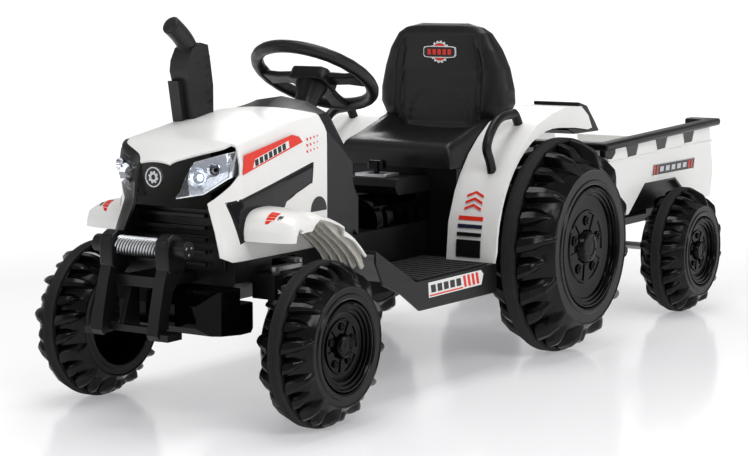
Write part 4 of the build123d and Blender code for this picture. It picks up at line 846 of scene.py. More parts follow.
def make_fenders():
    """Front fenders as thin rolled shells with ribbed cream liners; rear fenders with wide rounded edges."""
    top = smooth_path(FRONT_FENDER_LINE, 72)
    along = np.gradient(top, axis=0)
    along /= np.linalg.norm(along, axis=1)[:, None]
    inward = np.column_stack([-along[:, 1], along[:, 0]])
    inward *= np.where(np.sum(inward * (np.array([-20.0, 180.0]) - top), 1) < 0, -1, 1)[:, None]
    lip = np.interp(-top[:, 0], [-46, -38, -27, 0, 10, 18, 60, 121], [17, 22, 26, 26, 17, 11, 9, 7])
    lip = np.where(top[:, 1] < 236, np.interp(top[:, 1], [222, 236], [12, 17]), lip)
    v = np.append(np.sin(np.linspace(0, pi / 2, 18)), [1.0, 1.0, 1.0])
    y = FRONT_FENDER_INNER + FRONT_FENDER_WIDTH * v
    crown = 1 - np.sqrt(np.maximum(1 - v ** 2.3, 0))
    depth = crown[None, :] * np.minimum(FRONT_FENDER_CROWN, 0.85 * lip)[:, None]
    depth[:, -3:] += np.array([0.2, 0.6, 1.0]) * (lip - depth[:, -1])[:, None]
    spot = top[:, None, :] + inward[:, None, :] * depth[:, :, None]
    shell = np.stack([ahead(spot[..., 0]), np.broadcast_to(y, depth.shape), spot[..., 1]], -1)

    def printed_patch(first, last, low_v, high_v):
        """A film over the crown between two shares of its length and two of its width."""
        share = first + (last - first) * np.linspace(0, 1, 6)
        lean = share[:, None] + 0.012 * np.linspace(0, 1, 6)[None, :]
        width = np.broadcast_to(np.linspace(low_v, high_v, 6), lean.shape)
        row = lean * (len(top) - 1)
        a, z, step_a, step_z = (np.interp(row, np.arange(len(top)), column) for column in (*top.T, *inward.T))
        grids = []
        for up in (-0.3, 0.45):
            sink = (1 - np.sqrt(1 - width ** 2.3)) * FRONT_FENDER_CROWN - up
            across_y = FRONT_FENDER_INNER + FRONT_FENDER_WIDTH * width
            grids.append(np.stack([ahead(a + step_a * sink), across_y, z + step_z * sink], -1))
        return closed_sheet(*grids)

    liner = points_ahead([(-30, 243), (-46, 239), (-76, 225), (-98, 208.5), (-113, 195.5), (-123, 176), (-117, 173),
                          (-104, 190), (-84, 207), (-60, 222)])
    roof = points_ahead([(-22, 247), (-46, 241), (-78, 226), (-100, 209), (-114, 196), (-112, 193), (-98, 205),
                         (-76, 221.5), (-46, 236), (-22, 243)])
    ribs = [prism(liner, low, low + 3.2) for low in (97, 110, 123, 136, 148)]
    ribs.append(prism(roof, 95, 151))
    for side, tag in on_each_side():
        part = (shell, quads(*depth.shape))
        thickened(f"front_fender_{tag}_shell", sided(part, side), "white_plastic",
                  (f"front_fender_{tag}",))
        part = join(*ribs)
        piece(f"front_fender_{tag}_liner", sided(part, side), "cream_liner", "tractor",
              "white_plastic", bevel=0.5)
        rounded(f"rear_fender_{tag}", "white_plastic", 4.0, 4)
        for name, paint, low_v, high_v, length, starts in (
            ("bars", "red_print", 0.42, 0.58, 0.034, (0.17, 0.212, 0.254, 0.296)),
            ("dashes", "black_print", 0.62, 0.69, 0.05, (0.19, 0.25)),
        ):
            part = join(*(printed_patch(start, start + length, low_v, high_v) for start in starts))
            piece(f"front_fender_{name}_{tag}", sided(part, side), paint, "tractor", "white_plastic")


# ---------------------------------------------------------------- steering wheel
WHEEL_MIDDLE = np.array([-234.0 + FRONT_AXLE, 0.0, 403.0])
WHEEL_TILT = radians(30.8)
WHEEL_FORWARD = np.array([cos(WHEEL_TILT), 0.0, sin(WHEEL_TILT)])
WHEEL_AXIS = np.array([-sin(WHEEL_TILT), 0.0, cos(WHEEL_TILT)])
RIM_RADIUS = 79.0
RIM_TUBE = 8.5


def on_wheel(part):
    """Carries (points, faces) made flat, with X forward and Z along the column, into the steering wheel's plane."""
    points, faces = part
    points = np.asarray(points, float).reshape(-1, 3)
    return (WHEEL_MIDDLE + points[:, :1] * WHEEL_FORWARD + points[:, 1:2] * (0.0, 1.0, 0.0)
            + points[:, 2:] * WHEEL_AXIS), faces


def make_steering():
    """Padded rim, three dished spokes, a wide hub pad with silver edge lines and the horn button."""
    turn = np.linspace(0, 2 * pi, 96, endpoint=False)
    path = RIM_RADIUS * np.column_stack([np.cos(turn), np.sin(turn), np.zeros(96)])
    count = 18
    around = 2 * pi * np.arange(count) / count
    radial = path / RIM_RADIUS
    grip = RIM_TUBE - 0.35 * (0.5 + 0.5 * np.cos(24 * turn)) * (np.abs(np.sin(turn)) > 0.5)
    rim = path[:, None] + grip[:, None, None] * (
        np.cos(around)[None, :, None] * radial[:, None] + np.sin(around)[None, :, None] * np.array([0, 0, 1.0])
    )
    piece("steering_rim", on_wheel((rim, quads(96, count, True, True))), "seat_black", "steering",
          stands_for=("steering_wheel",))
    spokes, lines = [], []
    for angle in (pi / 2, -pi / 2, pi):
        c, s = cos(angle), sin(angle)
        outline = [(16.5, -14.5), (30, -11.5), (52, -9.5), (74, -14), (74, 14), (52, 9.5), (30, 11.5), (16.5, 14.5)]
        spokes.append(prism([(c * p - s * q, s * p + c * q) for p, q in outline], -7.5, 0.5, "z"))
        for edge in (-1, 1):
            line = [(30, edge * 9.6), (52, edge * 7.6), (66, edge * 9.4), (66, edge * 8.2), (52, edge * 6.4),
                    (30, edge * 8.4)]
            lines.append(prism([(c * p - s * q, s * p + c * q) for p, q in line], 0.2, 1.3, "z"))
    piece("steering_spokes", on_wheel(join(*spokes)), "seat_black", "steering", stands_for=("steering_wheel",),
          bevel=2.0, segments=3)
    piece("steering_lines", on_wheel(join(*lines)), "silver_print", "steering", "silver_trim", bevel=0.3)
    pad = [(-24, -17), (-19, -26), (14, -29), (21, -22), (21, 22), (14, 29), (-19, 26), (-24, 17)]
    piece("steering_pad", on_wheel(join(prism(pad, -15, 4.2, "z"))), "black_plastic", "steering",
          stands_for=("steering_wheel",), bevel=3.0, segments=4)
    groove = [(p * 0.8, q * 0.8) for p, q in pad]
    inner = [(p * 0.76, q * 0.76) for p, q in pad]
    piece("steering_pad_line", on_wheel(frame_ring(groove, inner, 3.6, 4.8, "z")), "silver_print", "steering",
          "silver_trim", bevel=0.2)
    boot = [(-46, 0), (-46, 15), (-34, 15.5), (-16, 21), (-12, 21), (-12, 0)]
    points, faces = turned_about(boot, 40, (0, 0, 0), (0, 0, 1))
    piece("steering_boot", on_wheel((points, faces)), "black_plastic", "steering", "black_plastic", bevel=0.8)


# ---------------------------------------------------------------- exhaust
STACK_MIDDLE = -60.0
STACK_HALF_WIDTH = 14.0


def make_exhaust():
    """Stack and pipe with rounded edges, a stack of slots on its side, screw recesses and a dark mouth."""
    rounded("exhaust_stack", "charcoal_plastic", 2.0, 3)
    rounded("exhaust_pipe", "charcoal_plastic", 1.0, 3)
    cap = turned_about([(-6, 0), (-6, 9.4), (0.1, 9.4), (0.1, 11.2), (1.0, 10.9), (1.9, 9.6), (2.4, 7.0), (2.6, 0)], 40,
                       (ahead(-12), STACK_MIDDLE, 472), (1.0, 0.0, 0.62))
    piece("exhaust_cap", cap, "charcoal_plastic", "tractor")
    turn = np.linspace(0, 2 * pi, 20, endpoint=False)
    for side, tag in on_each_side():
        level = STACK_MIDDLE + side * STACK_HALF_WIDTH
        low, high = sorted((level - side * 0.5, level + side * 0.35))
        # Painted shade: the slots and screw recesses are flat black films standing proud of the stack, their black
        # standing for the shade inside them.
        slots = []
        for k in range(7):
            a, z = -65.5 - 0.9 * k, 431 - 11.0 * k
            outline = [(ahead(a + 5.2 * cos(t) + 0.5 * sin(t)), z + 2.0 * sin(t) - 1.6 * cos(t)) for t in turn]
            slots.append(prism(outline, low, high))
        for a, z in ((-48, 424), (-50, 360)):
            slots.append(prism([(ahead(a + 2.6 * cos(t)), z + 2.6 * sin(t)) for t in turn], low, high))
        piece(f"exhaust_slot_shades_{tag}", join(*slots), "black_print", "tractor", "black_plastic")


# ---------------------------------------------------------------- bumper and boards
def make_coil():
    """Steep winding on a black core: radius falls and rises as |cos(pi * y / pitch + 3 * angle)| on a tube along Y."""
    low, high = (np.asarray(corner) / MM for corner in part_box("winch_coil"))
    middle, radius = (low + high) / 2, (high[2] - low[2]) / 2
    y = np.linspace(low[1], high[1], 240)[:, None]
    angle = 2 * pi * np.arange(72)[None, :] / 72
    reach = radius * (0.72 + 0.28 * np.abs(np.cos(pi * y / 4.4 + 3 * angle)))
    reach = np.where((y > low[1] + 0.1) & (y < high[1] - 0.1), reach, radius * 0.72)
    wires = np.stack([middle[0] + reach * np.sin(angle), y + 0 * reach, middle[2] + reach * np.cos(angle)], -1)
    first, last = (end * (0, 1, 0) + (middle[0], 0, middle[2]) for end in (wires[:1], wires[-1:]))
    grid = np.concatenate([first, wires, last])
    piece("winch_winding", (grid, quads(len(grid), 72, False, True)), "silver_trim", "tractor",
          stands_for=("winch_coil",))
    core = turned_about([(low[1] + 0.5, 0), (low[1] + 0.5, radius * 0.87), (high[1] - 0.5, radius * 0.87),
                         (high[1] - 0.5, 0)], 48, (middle[0], 0, middle[2]), (0, 1, 0))
    piece("winch_core", core, "black_plastic", "tractor")


def make_front():
    """Bumper with thicker upper sleeves, drum ends with bolt heads, the wound wire and the front weight."""
    rounded("bumper_bracket", "black_plastic", 1.8, 3)
    rounded("winch_drum", "black_plastic", 1.0, 3)
    make_coil()
    rounded("front_weight", "gloss_black", 3.0, 4)
    sleeve = points_ahead([(102.5, 196), (102.5, 223), (109, 232.5), (124, 235.5), (135.5, 229.5), (139, 216),
                           (137.5, 194), (131, 189), (108, 189)])
    parts = [prism(sleeve, side * 42 - 9.6, side * 42 + 9.6) for side in (1, -1)]
    piece("bumper_sleeves", join(*parts), "black_plastic", "tractor", bevel=2.5, segments=3)
    ends = []
    for side in (1, -1):
        for k in range(3):
            t = 2 * pi * (k + 0.25) / 3
            end = dome(ahead(120 + 5.2 * cos(t)), 68.6, 217 + 5.2 * sin(t), 1.6, 1.3, 8)
            ends.append(sided(end, side))
    piece("drum_bolts", join(*ends), "steel", "tractor")


def plate_with_marks(name, corners, level, side, base, body, marks):
    """A printed plate on a face across Y: a base film, and coloured films standing slightly prouder."""
    sticker(name, points_ahead(corners), level, side, base, body)
    for index, (paint, outlines) in enumerate(marks):
        parts = [prism(points_ahead(outline), *across(side, level, level + 0.6)) for outline in outlines]
        piece(f"{name}_marks_{index + 1}", join(*parts), paint, body, "white_plastic")


# CAD node, finish and edge radius
BOARD_NODES = (
    ("chassis", "black_plastic", 1.0), ("foot_mats", "rubber_mat", 0.4), ("pedal", "black_plastic", 0.6),
    ("engine_cover", "gloss_black", 1.8), ("shift_bezel", "silver_trim", 0.8), ("shift_lever", "gloss_black", 1.2),
    ("seat_base", "black_plastic", 1.0), ("fender_tails", "black_plastic", 1.5),
    ("gearboxes", "black_plastic", 1.0), ("battery", "black_plastic", 1.0), ("hitch_pin", "steel", 0.5),
    ("rear_axle", "steel", 0.5), ("steering_shaft", "steel", 0.5), ("horn_button", "gloss_black", 0.4),
    ("knuckle_left", "steel", 0.5), ("knuckle_right", "steel", 0.5), ("tie_rod", "steel", 0.5),
    ("grab_handles", "black_plastic", 0.5),
)


def make_boards():
    """Footboards, mats, console, controls and running gear, with a plain striped plate on each skirt."""
    for node, paint, bevel in BOARD_NODES:
        rounded(node, paint, bevel, 2)
    for side, tag in on_each_side():
        plate = [(-248, 121), (-246, 141), (-381, 141), (-388, 135), (-383, 121)]
        blocks = [[(a, 127), (a + 2.0, 137), (a - 9.5, 137), (a - 11.5, 127)] for a in (-254, -270, -286, -302, -318)]
        slashes = [[(a, 123.4), (a + 4.5, 139), (a - 1.5, 139), (a - 6.0, 123.4)] for a in (-338, -349, -360, -371)]
        slashes.append([(-250, 122.6), (-250, 124.4), (-334, 124.4), (-334, 122.6)])
        plate_with_marks(f"skirt_plate_{tag}", plate, 168.0, side, "white_print", "tractor",
                         [("black_print", blocks), ("red_print", slashes)])


# ---------------------------------------------------------------- trailer
TUB_HALF_WIDTH = 150.0


def rail_height(a):
    """Height of the tub rim at a distance ahead of the front axle: a straight slope."""
    return 272.0 + (-790.0 - a) / 30.0


def make_trailer():
    """Tub with black arch liners, black pockets under the rail and a plain striped plate; rail, tailgate and frame."""
    rounded("trailer_tub", "white_plastic", 1.4, 3)
    rounded("tailgate", "white_plastic", 1.2, 3)
    rounded("trailer_rail", "black_plastic", 4.0, 4)
    rounded("trailer_frame", "black_plastic", 1.0, 2)
    rounded("trailer_axle", "steel", 0.5, 2)
    opening = [(-865, 166), (-899, 186), (-930, 210), (-1045, 210), (-1082, 186), (-1114, 166)]
    inset = [(-867, 166), (-900.5, 184.8), (-931, 208.3), (-1044, 208.3), (-1080.5, 184.8), (-1112, 166)]
    for side, tag in on_each_side():
        # Painted shade: the liner band and the cheek plate are black sheets standing for the shade inside the white
        # plastic wheel arch.
        liner = prism(points_ahead(opening + [(x, z - 1.6) for x, z in inset[::-1]]), 140.2, 149.2)
        piece(f"trailer_arch_{tag}", sided(liner, side), "black_plastic", "trailer")
        cheek = prism(points_ahead(inset), 140.15, 141.4)
        piece(f"trailer_arch_cheek_{tag}", sided(cheek, side), "black_plastic", "trailer")
        # Painted shade: the black films under the rail stand for the shade inside its recesses, which are not cut.
        pocket_shades, ledges = [], []
        for a in (-881, -988, -1093):
            z = rail_height(a)
            outline = points_ahead([(a + 21.5, z - 0.5), (a - 21.5, z + 0.8), (a - 14, z - 17.5), (a + 14, z - 18.5)])
            pocket_shades.append(prism(outline, 149.2, 150.45))
            ledge = points_ahead([(a - 14, z - 17.5), (a - 21.5, z + 0.8), (a - 30, z + 0.8), (a - 19, z - 22),
                                  (a + 17, z - 22), (a + 14, z - 18.5)])
            ledges.append(prism(ledge, 149.2, 151.3))
        for name, parts, paint, slot, bevel in (
            ("pocket_shades", pocket_shades, "black_print", "black_plastic", 0.0),
            ("ledges", ledges, "white_plastic", "white_plastic", 0.9),
        ):
            part = join(*parts)
            piece(f"trailer_{name}_{tag}", sided(part, side), paint, "trailer", slot, bevel=bevel)
        rib = prism(points_ahead([(-797, 250), (-797, 254), (-1192, 262), (-1194, 258)]), 149.5, 150.8)
        piece(f"trailer_side_rib_{tag}", sided(rib, side), "white_plastic", "trailer", bevel=0.6)
        plate = [(-956, 220), (-960, 236), (-1119, 236), (-1115, 220)]
        rim = [[(-954.5, 218.8), (-958.5, 237.2), (-1120.5, 237.2), (-1116.5, 218.8), (-1115, 220), (-1119, 236),
                (-960, 236), (-956, 220)]]
        red = [[(a, 221.5), (a - 3.2, 234.5), (a - 8.2, 234.5), (a - 5, 221.5)] for a in (-960, -971, -1093, -1104)]
        grey = [[(a, 224), (a - 1.6, 232), (a - 15.6, 232), (a - 14, 224)] for a in (-984, -1006, -1028, -1050, -1072)]
        plate_with_marks(f"trailer_plate_{tag}", plate, TUB_HALF_WIDTH, side, "black_print", "trailer",
                         [("red_print", red), ("silver_print", grey + rim)])
        corner = points_ahead([(-776, 262), (-776, 273), (-812, 274.2), (-812, 266), (-800, 258)])
        cap = prism(corner, 146, 156)
        piece(f"rail_corner_{tag}", sided(cap, side), "black_plastic", "trailer", bevel=1.5)
    rear, front = ahead(-1185), ahead(-862)
    ribs = [prism([(rear, y), (front, y), (front, y + 7), (rear, y + 7)], 170.0, 172.4, "z")
            for y in np.arange(-128, 124, 21.0)]
    piece("trailer_floor_ribs", join(*ribs), "white_plastic", "trailer", bevel=0.8)


# ---------------------------------------------------------------- hood and nose
NOSE_STATIONS = np.array([-128.0, -70.0, -10.0, 48.0, 61.0, 78.0, 91.0, 97.0])
# half cross-sections from the bottom edge up to the middle line, rear to front: (y, z)
NOSE_OUTLINES = np.array([
    [(93, 175), (93, 205), (93, 235), (93, 268), (93, 341), (79, 362), (0, 368)],
    [(93, 175), (93, 205), (93, 235), (93, 268), (93, 334), (82, 357), (0, 364)],
    [(93, 175), (93, 205), (93, 235), (93, 268), (93, 325), (83, 346), (0, 353)],
    [(93, 175), (93, 205), (92, 235), (91, 268), (92, 312), (86, 336), (0, 340)],
    [(91, 175), (91, 205), (86, 235), (81, 268), (84, 308), (80, 331), (0, 335)],
    [(86, 175), (86, 205), (76, 235), (62, 267), (60, 300), (42, 321), (0, 326)],
    [(72, 175), (72, 205), (58, 235), (34, 268), (33, 295), (28, 317), (0, 320)],
    [(62, 175), (62, 205), (48, 228), (32, 266), (30, 290), (24, 312), (0, 316)],
], float)
SHOULDER = 5.0
MIDDLE = 6.0


def skin(a, u):
    """Point of the nose skin: a is the distance ahead of the front axle, u runs round the section from the left
    bottom edge (0) over the shoulder (5) and the middle (6) to the right bottom edge (12).

    Sections are joined by straight lines, the roof bulges as a parabola, and an average over a small window of both
    parameters rounds every corner."""
    a, u = np.broadcast_arrays(np.asarray(a, float), np.asarray(u, float))
    total = np.zeros(a.shape + (3,))
    weight = 0.0
    for da, du, w in SKIN_WINDOW:
        total += w * sharp_skin(a + da, u + du)
        weight += w
    return total / weight


SKIN_WINDOW = [(da, du, 1.0) for da in (-3.0, 0.0, 3.0) for du in (-0.10, -0.05, 0.0, 0.05, 0.10)]


def sharp_skin(a, u):
    """The skin before its corners are rounded."""
    a = np.clip(a, NOSE_STATIONS[0], NOSE_STATIONS[-1])
    side = np.where(u > MIDDLE, -1.0, 1.0)
    v = np.clip(np.where(u > MIDDLE, 2 * MIDDLE - u, u), 0.0, MIDDLE)
    station = np.clip(np.searchsorted(NOSE_STATIONS, a, side="right") - 1, 0, len(NOSE_STATIONS) - 2)
    share = (a - NOSE_STATIONS[station]) / (NOSE_STATIONS[station + 1] - NOSE_STATIONS[station])
    corner = np.clip(v.astype(int), 0, 5)
    along = v - corner
    z_along = np.where(corner == 5, 1.0 - (1.0 - along) ** 2, along)
    share = share[..., None]
    low = NOSE_OUTLINES[station, corner] * (1 - share) + NOSE_OUTLINES[station + 1, corner] * share
    high = NOSE_OUTLINES[station, corner + 1] * (1 - share) + NOSE_OUTLINES[station + 1, corner + 1] * share
    y = low[..., 0] + (high[..., 0] - low[..., 0]) * along
    z = low[..., 1] + (high[..., 1] - low[..., 1]) * z_along
    return np.stack([ahead(a), side * y, z], -1)


def skin_height(a, z):
    """The u of the left side at a distance and a height, found by halving the interval."""
    low, high = np.zeros_like(z), np.full_like(z, SHOULDER)
    for _ in range(24):
        middle = (low + high) / 2
        under = sharp_skin(a, middle)[..., 2] < z
        low, high = np.where(under, middle, low), np.where(under, high, middle)
    return (low + high) / 2


def on_side(a, z, lift, side):
    """Points over the hood's side at distances and heights, lifted off the skin."""
    points = skin(a, skin_height(a, z))
    points[..., 1] += lift
    return points * (1, side, 1)


def jaw_line(u):
    """Front edge of the white side panel at each u below the bezel's lower corner."""
    return np.interp(u, [0.0, 0.76, 0.78, 1.0, 3.0, 3.75], [62.0, 62.0, 66.0, 80.0, 77.0, 49.5])


def thickened(name, part, paint, stands_for, wall=3.0, cutter=None, bevel=1.0):
    """An open skin given a wall inwards, with rounded rims and an optional hole cut through it."""
    points, faces = part
    mesh = bpy.data.meshes.new(name + "_skin")
    mesh.from_pydata((np.asarray(points, float).reshape(-1, 3) * MM).tolist(), [], [tuple(f) for f in faces])
    work = bmesh.new()
    work.from_mesh(mesh)
    bmesh.ops.remove_doubles(work, verts=work.verts, dist=2e-5)
    bmesh.ops.dissolve_degenerate(work, dist=1e-5, edges=work.edges)
    bmesh.ops.recalc_face_normals(work, faces=work.faces)
    upward = sum(f.normal.z * f.calc_area() for f in work.faces)
    if upward < 0:
        bmesh.ops.reverse_faces(work, faces=work.faces)
    work.to_mesh(mesh)
    work.free()
    shell = bpy.data.objects.new(name + "_skin", mesh)
    bpy.context.scene.collection.objects.link(shell)
    wall_step = shell.modifiers.new("Wall", "SOLIDIFY")
    wall_step.thickness = wall * MM
    wall_step.offset = -1.0
    if cutter is not None:
        tool_mesh = bpy.data.meshes.new("cutter")
        tool_points, tool_faces = cutter
        corners = (np.asarray(tool_points).reshape(-1, 3) * MM).tolist()
        tool_mesh.from_pydata(corners, [], [tuple(f) for f in tool_faces])
        work = bmesh.new()
        work.from_mesh(tool_mesh)
        bmesh.ops.recalc_face_normals(work, faces=work.faces)
        work.to_mesh(tool_mesh)
        work.free()
        tool = bpy.data.objects.new("cutter", tool_mesh)
        bpy.context.scene.collection.objects.link(tool)
        cut = shell.modifiers.new("Opening", "BOOLEAN")
        cut.object = tool
        cut.solver = "EXACT"
    bpy.context.view_layer.update()
    whole = bpy.data.meshes.new_from_object(shell.evaluated_get(bpy.context.evaluated_depsgraph_get()))
    bpy.data.objects.remove(shell)
    if cutter is not None:
        bpy.data.objects.remove(tool)
    whole.name = name
    return finish_piece(name, whole, paint, "tractor", None, stands_for, bevel, 2, 40.0)


BEZEL = 0.09


def hood_skin():
    """White hood: the whole wrap behind the bezel, the roof out to the nose tip, and the two lower jaws."""
    u_low = np.array([0.77, 0.85, 1.0, 1.3, 1.6, 2.0, 2.4, 2.8, 3.0, 3.15, 3.3, 3.5, 3.75])
    u_high = np.array([4.0, 4.3, 4.6, 4.75, 4.85, 4.92, 4.97, 5.0, 5.03, 5.0 + BEZEL])
    u_roof = np.array([5.0 + BEZEL, 5.14, 5.2, 5.3, 5.45, 5.6, 5.8, 6.0])
    half = np.concatenate([u_low, u_high, u_roof[1:]])
    rows = np.concatenate([half, 12.0 - half[-2::-1]])
    wrap_a = np.concatenate([np.linspace(-128, 40, 43), [43.0, 46.0, 49.5]])
    wrap = (skin(wrap_a[None, :], rows[:, None]), quads(len(rows), len(wrap_a)))
    roof_rows = np.concatenate([u_roof, 12.0 - u_roof[-2::-1]])
    roof_a = np.concatenate([np.linspace(49.5, 88, 18), [90, 92, 94, 95.5, 97]])
    roof = (skin(roof_a[None, :], roof_rows[:, None]), quads(len(roof_rows), len(roof_a)))
    share = np.linspace(0, 1, 14)[None, :]
    jaw_a = 49.5 + share * (jaw_line(u_low)[:, None] - 49.5)
    jaw = (skin(jaw_a, np.broadcast_to(u_low[:, None], jaw_a.shape)), quads(len(u_low), 14))
    other = (jaw[0] * (1, -1, 1), jaw[1][:, ::-1])
    return join(wrap, roof, jaw, other)


def mask_skin():
    """Black mask: both cheeks from the jaw line or bezel to the tip, and a face plate across the tip."""
    u = np.array([0.0, 0.4, 0.76, 0.78, 1.0, 1.3, 1.6, 2.0, 2.3, 2.63, 2.8, 3.0, 3.2, 3.5, 3.75, 4.0, 4.3, 4.6, 4.75,
                  4.85, 4.92, 4.97, 5.0, 5.03, 5.0 + BEZEL])
    start = np.where(u < 3.75, jaw_line(u), 49.5)
    share = np.linspace(0, 1, 26)[None, :]
    a = start[:, None] + share * (97.0 - start[:, None])
    cheek = (skin(a, np.broadcast_to(u[:, None], a.shape)), quads(len(u), 26))
    other = (cheek[0] * (1, -1, 1), cheek[1][:, ::-1])
    rows = np.concatenate([u[u > 2.6], [5.2, 5.4, 5.7, 5.9]])
    edge = skin(97.0, rows)
    across = np.linspace(-1, 1, 25)
    rise = np.clip((rows - 2.63) / (5.0 - 2.63), 0, 1)[:, None]
    y = edge[:, 1, None] * across[None, :]
    x = ahead(97.0) + 1.6 * (1 - across**2)[None, :] * (1 - rise**3)
    z = np.broadcast_to(edge[:, 2, None], y.shape)
    plate = (np.stack([x, y, z], -1), quads(len(rows), 25))
    return join(cheek, other, plate)


EMBLEM_HEIGHT = 297.0
# opening of each lamp in the mask: (y, z)
LAMP = [(31, 274), (45, 314), (84, 326), (82, 298), (58, 279)]


def make_hood():
    """Hood, nose mask, windows, lamps, grille and cowl, with the trim and the round emblem on them."""
    thickened("hood_shell", hood_skin(), "white_plastic", ("hood",))
    lamps = join(prism(LAMP, ahead(44), ahead(112), "x"), flip_side(prism(LAMP, ahead(44), ahead(112), "x")))
    thickened("nose_mask_shell", mask_skin(), "black_plastic", ("nose_mask",), cutter=lamps, bevel=0.8)
    rounded("headlight_lenses", "lens", 0.8, 2)
    rounded("headlight_reflectors", "reflector", 0.4, 1)
    rounded("grille", "black_plastic", 0.8, 2)
    rounded("dash_cowl", "charcoal_plastic", 1.2, 3)
    for side, tag in on_each_side():
        window_pane(side, tag)
        lamp_parts(side, tag)
    face_x = ahead(97.6)
    turn = np.linspace(0, 2 * pi, 48, endpoint=False)
    outer = circle(12.2, turn, EMBLEM_HEIGHT)
    inner = circle(10.4, turn, EMBLEM_HEIGHT)
    piece("nose_emblem_ring", frame_ring(outer, inner, face_x - 3.0, face_x + 1.4, "x"), "silver_print",
          "tractor", "silver_trim", bevel=0.3)
    piece("nose_emblem_disc", prism(outer, face_x - 3.0, face_x + 0.7, "x"), "black_print", "tractor", "black_plastic")
    gear = gear_outline(7.6, 6.1, turn, EMBLEM_HEIGHT)
    hole = circle(3.0, turn, EMBLEM_HEIGHT)
    piece("nose_emblem_gear", frame_ring(gear, hole, face_x - 3.0, face_x + 1.3, "x"), "silver_print", "tractor",
          "silver_trim", bevel=0.2)


def window_pane(side, tag):
    """Dark pane over the hood's side between a lower and an upper edge, in a thin frame, both following the skin."""
    share = np.linspace(0, 1, 60)[None, :]
    rise = np.linspace(0, 1, 14)[:, None]
    for name, grow, lift_low, lift_high, paint in (
        ("window_frame", 3.4, -0.8, 0.35, "black_plastic"), ("window_pane", 0.0, -0.8, 1.0, "window_gloss"),
    ):
        front = 48 + 12 * rise + grow
        rear = -91 - 3 * rise - grow
        a = front + share * (rear - front)
        low = np.interp(-a, [-53, 30, 40, 91], [221, 249, 264, 282]) - grow
        top = np.interp(-a, [-69, 94], [263, 301]) + grow
        z = low + rise * (top - low)
        crown = (lift_high - 0.3) + 0.3 * np.minimum(1.0, 6 * np.minimum(rise, 1 - rise))
        part = closed_sheet(on_side(a, z, lift_low, 1), on_side(a, z, crown, 1))
        piece(f"{name}_{tag}", sided(part, side), paint, "tractor",
              stands_for=("hood_windows",) if paint == "window_gloss" else (), crease=30.0)


def lamp_parts(side, tag):
    """Two chrome cups with lit domes behind each clear lens."""
    cups, cores = [], []
    for y, z, x, radius in ((55, 298, 84, 12.0), (71, 307, 75, 8.0)):
        origin = (ahead(x), side * y, z)
        axis = (1.0, 0.25 * side, 0.12)
        cups.append(turned_about([(-9, 0), (-8, radius * 0.45), (-4, radius * 0.8), (0, radius), (0.8, radius),
                                  (-4.5, radius * 0.72), (-7.4, radius * 0.4), (-8, 0)], 36, origin, axis))
        cores.append(turned_about([(-7.8, 0), (-7.8, radius * 0.36), (-5.5, radius * 0.34), (-4.2, radius * 0.2),
                                   (-3.8, 0)], 24, origin, axis))
    piece(f"lamp_cups_{tag}", join(*cups), "reflector", "tractor")
    piece(f"lamp_core_{tag}", cores[0], "lamp_glow", "tractor", "lens")
    piece(f"lamp_marker_{tag}", cores[1], "gloss_black", "tractor")


# ---------------------------------------------------------------- studio
# name, place in metres, watts, width and height in metres
LAMPS = (
    ("key", (1.6, 2.2, 2.4), 30.0, 1.6, 1.0),
    ("fill", (3.0, -1.2, 1.4), 9.0, 1.4, 1.4),
    ("top", (0.0, 0.0, 2.6), 30.0, 2.4, 1.0),
    ("rim", (-2.4, -1.6, 2.0), 22.0, 1.2, 1.2),
    ("strip", (-0.4, 2.4, 0.9), 9.0, 2.2, 0.3),
)
LOOK_AT = Vector((0.0, 0.0, 0.15))


def make_stage(settings):
    """Pale floor, soft lights above and to the sides, and the camera."""
    size = settings.floor_size
    mesh = bpy.data.meshes.new("floor")
    mesh.from_pydata([(-size, -size, 0), (size, -size, 0), (size, size, 0), (-size, size, 0)], [], [(0, 1, 2, 3)])
    floor = bpy.data.objects.new("floor", mesh)
    bpy.context.scene.collection.objects.link(floor)
    paint = Paint("studio_floor")
    cloud = paint.noise(1.2, 3.0)
    far = ((paint.x * paint.x + paint.y * paint.y) ** 0.5).ramp(0.9, 2.6)
    paint.set(
        Base_Color=paint.mix(cloud, (0.86, 0.86, 0.87), (0.90, 0.90, 0.90)),
        Roughness=(0.10 + cloud * 0.08).clamp(),
        Coat_Weight=0.5,
        Coat_Roughness=0.12,
        Emission_Color=paint.mix(far, (0.40, 0.40, 0.41), (1.0, 1.0, 1.0)),
        Emission_Strength=1.0,
    )
    paint.bump(paint.noise(900.0, 1.0) * 0.05, 0.0005)
    mesh.materials.append(paint.material)
    world = bpy.data.worlds.new("studio")
    bpy.context.scene.world = world
    world.use_nodes = True
    backdrop = world.node_tree.nodes["Background"]
    backdrop.inputs[0].default_value = (1.0, 1.0, 1.0, 1.0)
    seen = world.node_tree.nodes.new("ShaderNodeLightPath").outputs["Is Camera Ray"]
    level = world.node_tree.nodes.new("ShaderNodeMapRange")
    level.inputs["To Min"].default_value = settings.ambient
    level.inputs["To Max"].default_value = 1.05
    world.node_tree.links.new(seen, level.inputs["Value"])
    world.node_tree.links.new(level.outputs[0], backdrop.inputs[1])
    for name, place, energy, wide, tall in LAMPS:
        lamp = bpy.data.lights.new(name, "AREA")
        lamp.shape = "RECTANGLE"
        lamp.size, lamp.size_y = wide, tall
        lamp.energy = energy * settings.light_level
        holder = bpy.data.objects.new(name, lamp)
        bpy.context.scene.collection.objects.link(holder)
        holder.location = place
        holder.rotation_euler = (LOOK_AT - Vector(place)).to_track_quat("-Z", "Y").to_euler()
    camera = bpy.data.cameras.new("camera")
    camera.lens, camera.sensor_width = 93.34, 36.0
    eye = bpy.data.objects.new("camera", camera)
    bpy.context.scene.collection.objects.link(eye)
    eye.location = (2.3816, 1.4560, 0.5218)
    eye.rotation_euler = (1.4458, 0.0, 2.1484)
    bpy.context.scene.camera = eye
    bpy.context.scene.view_settings.view_transform = "Standard"
    bpy.context.scene.view_settings.gamma = 0.90


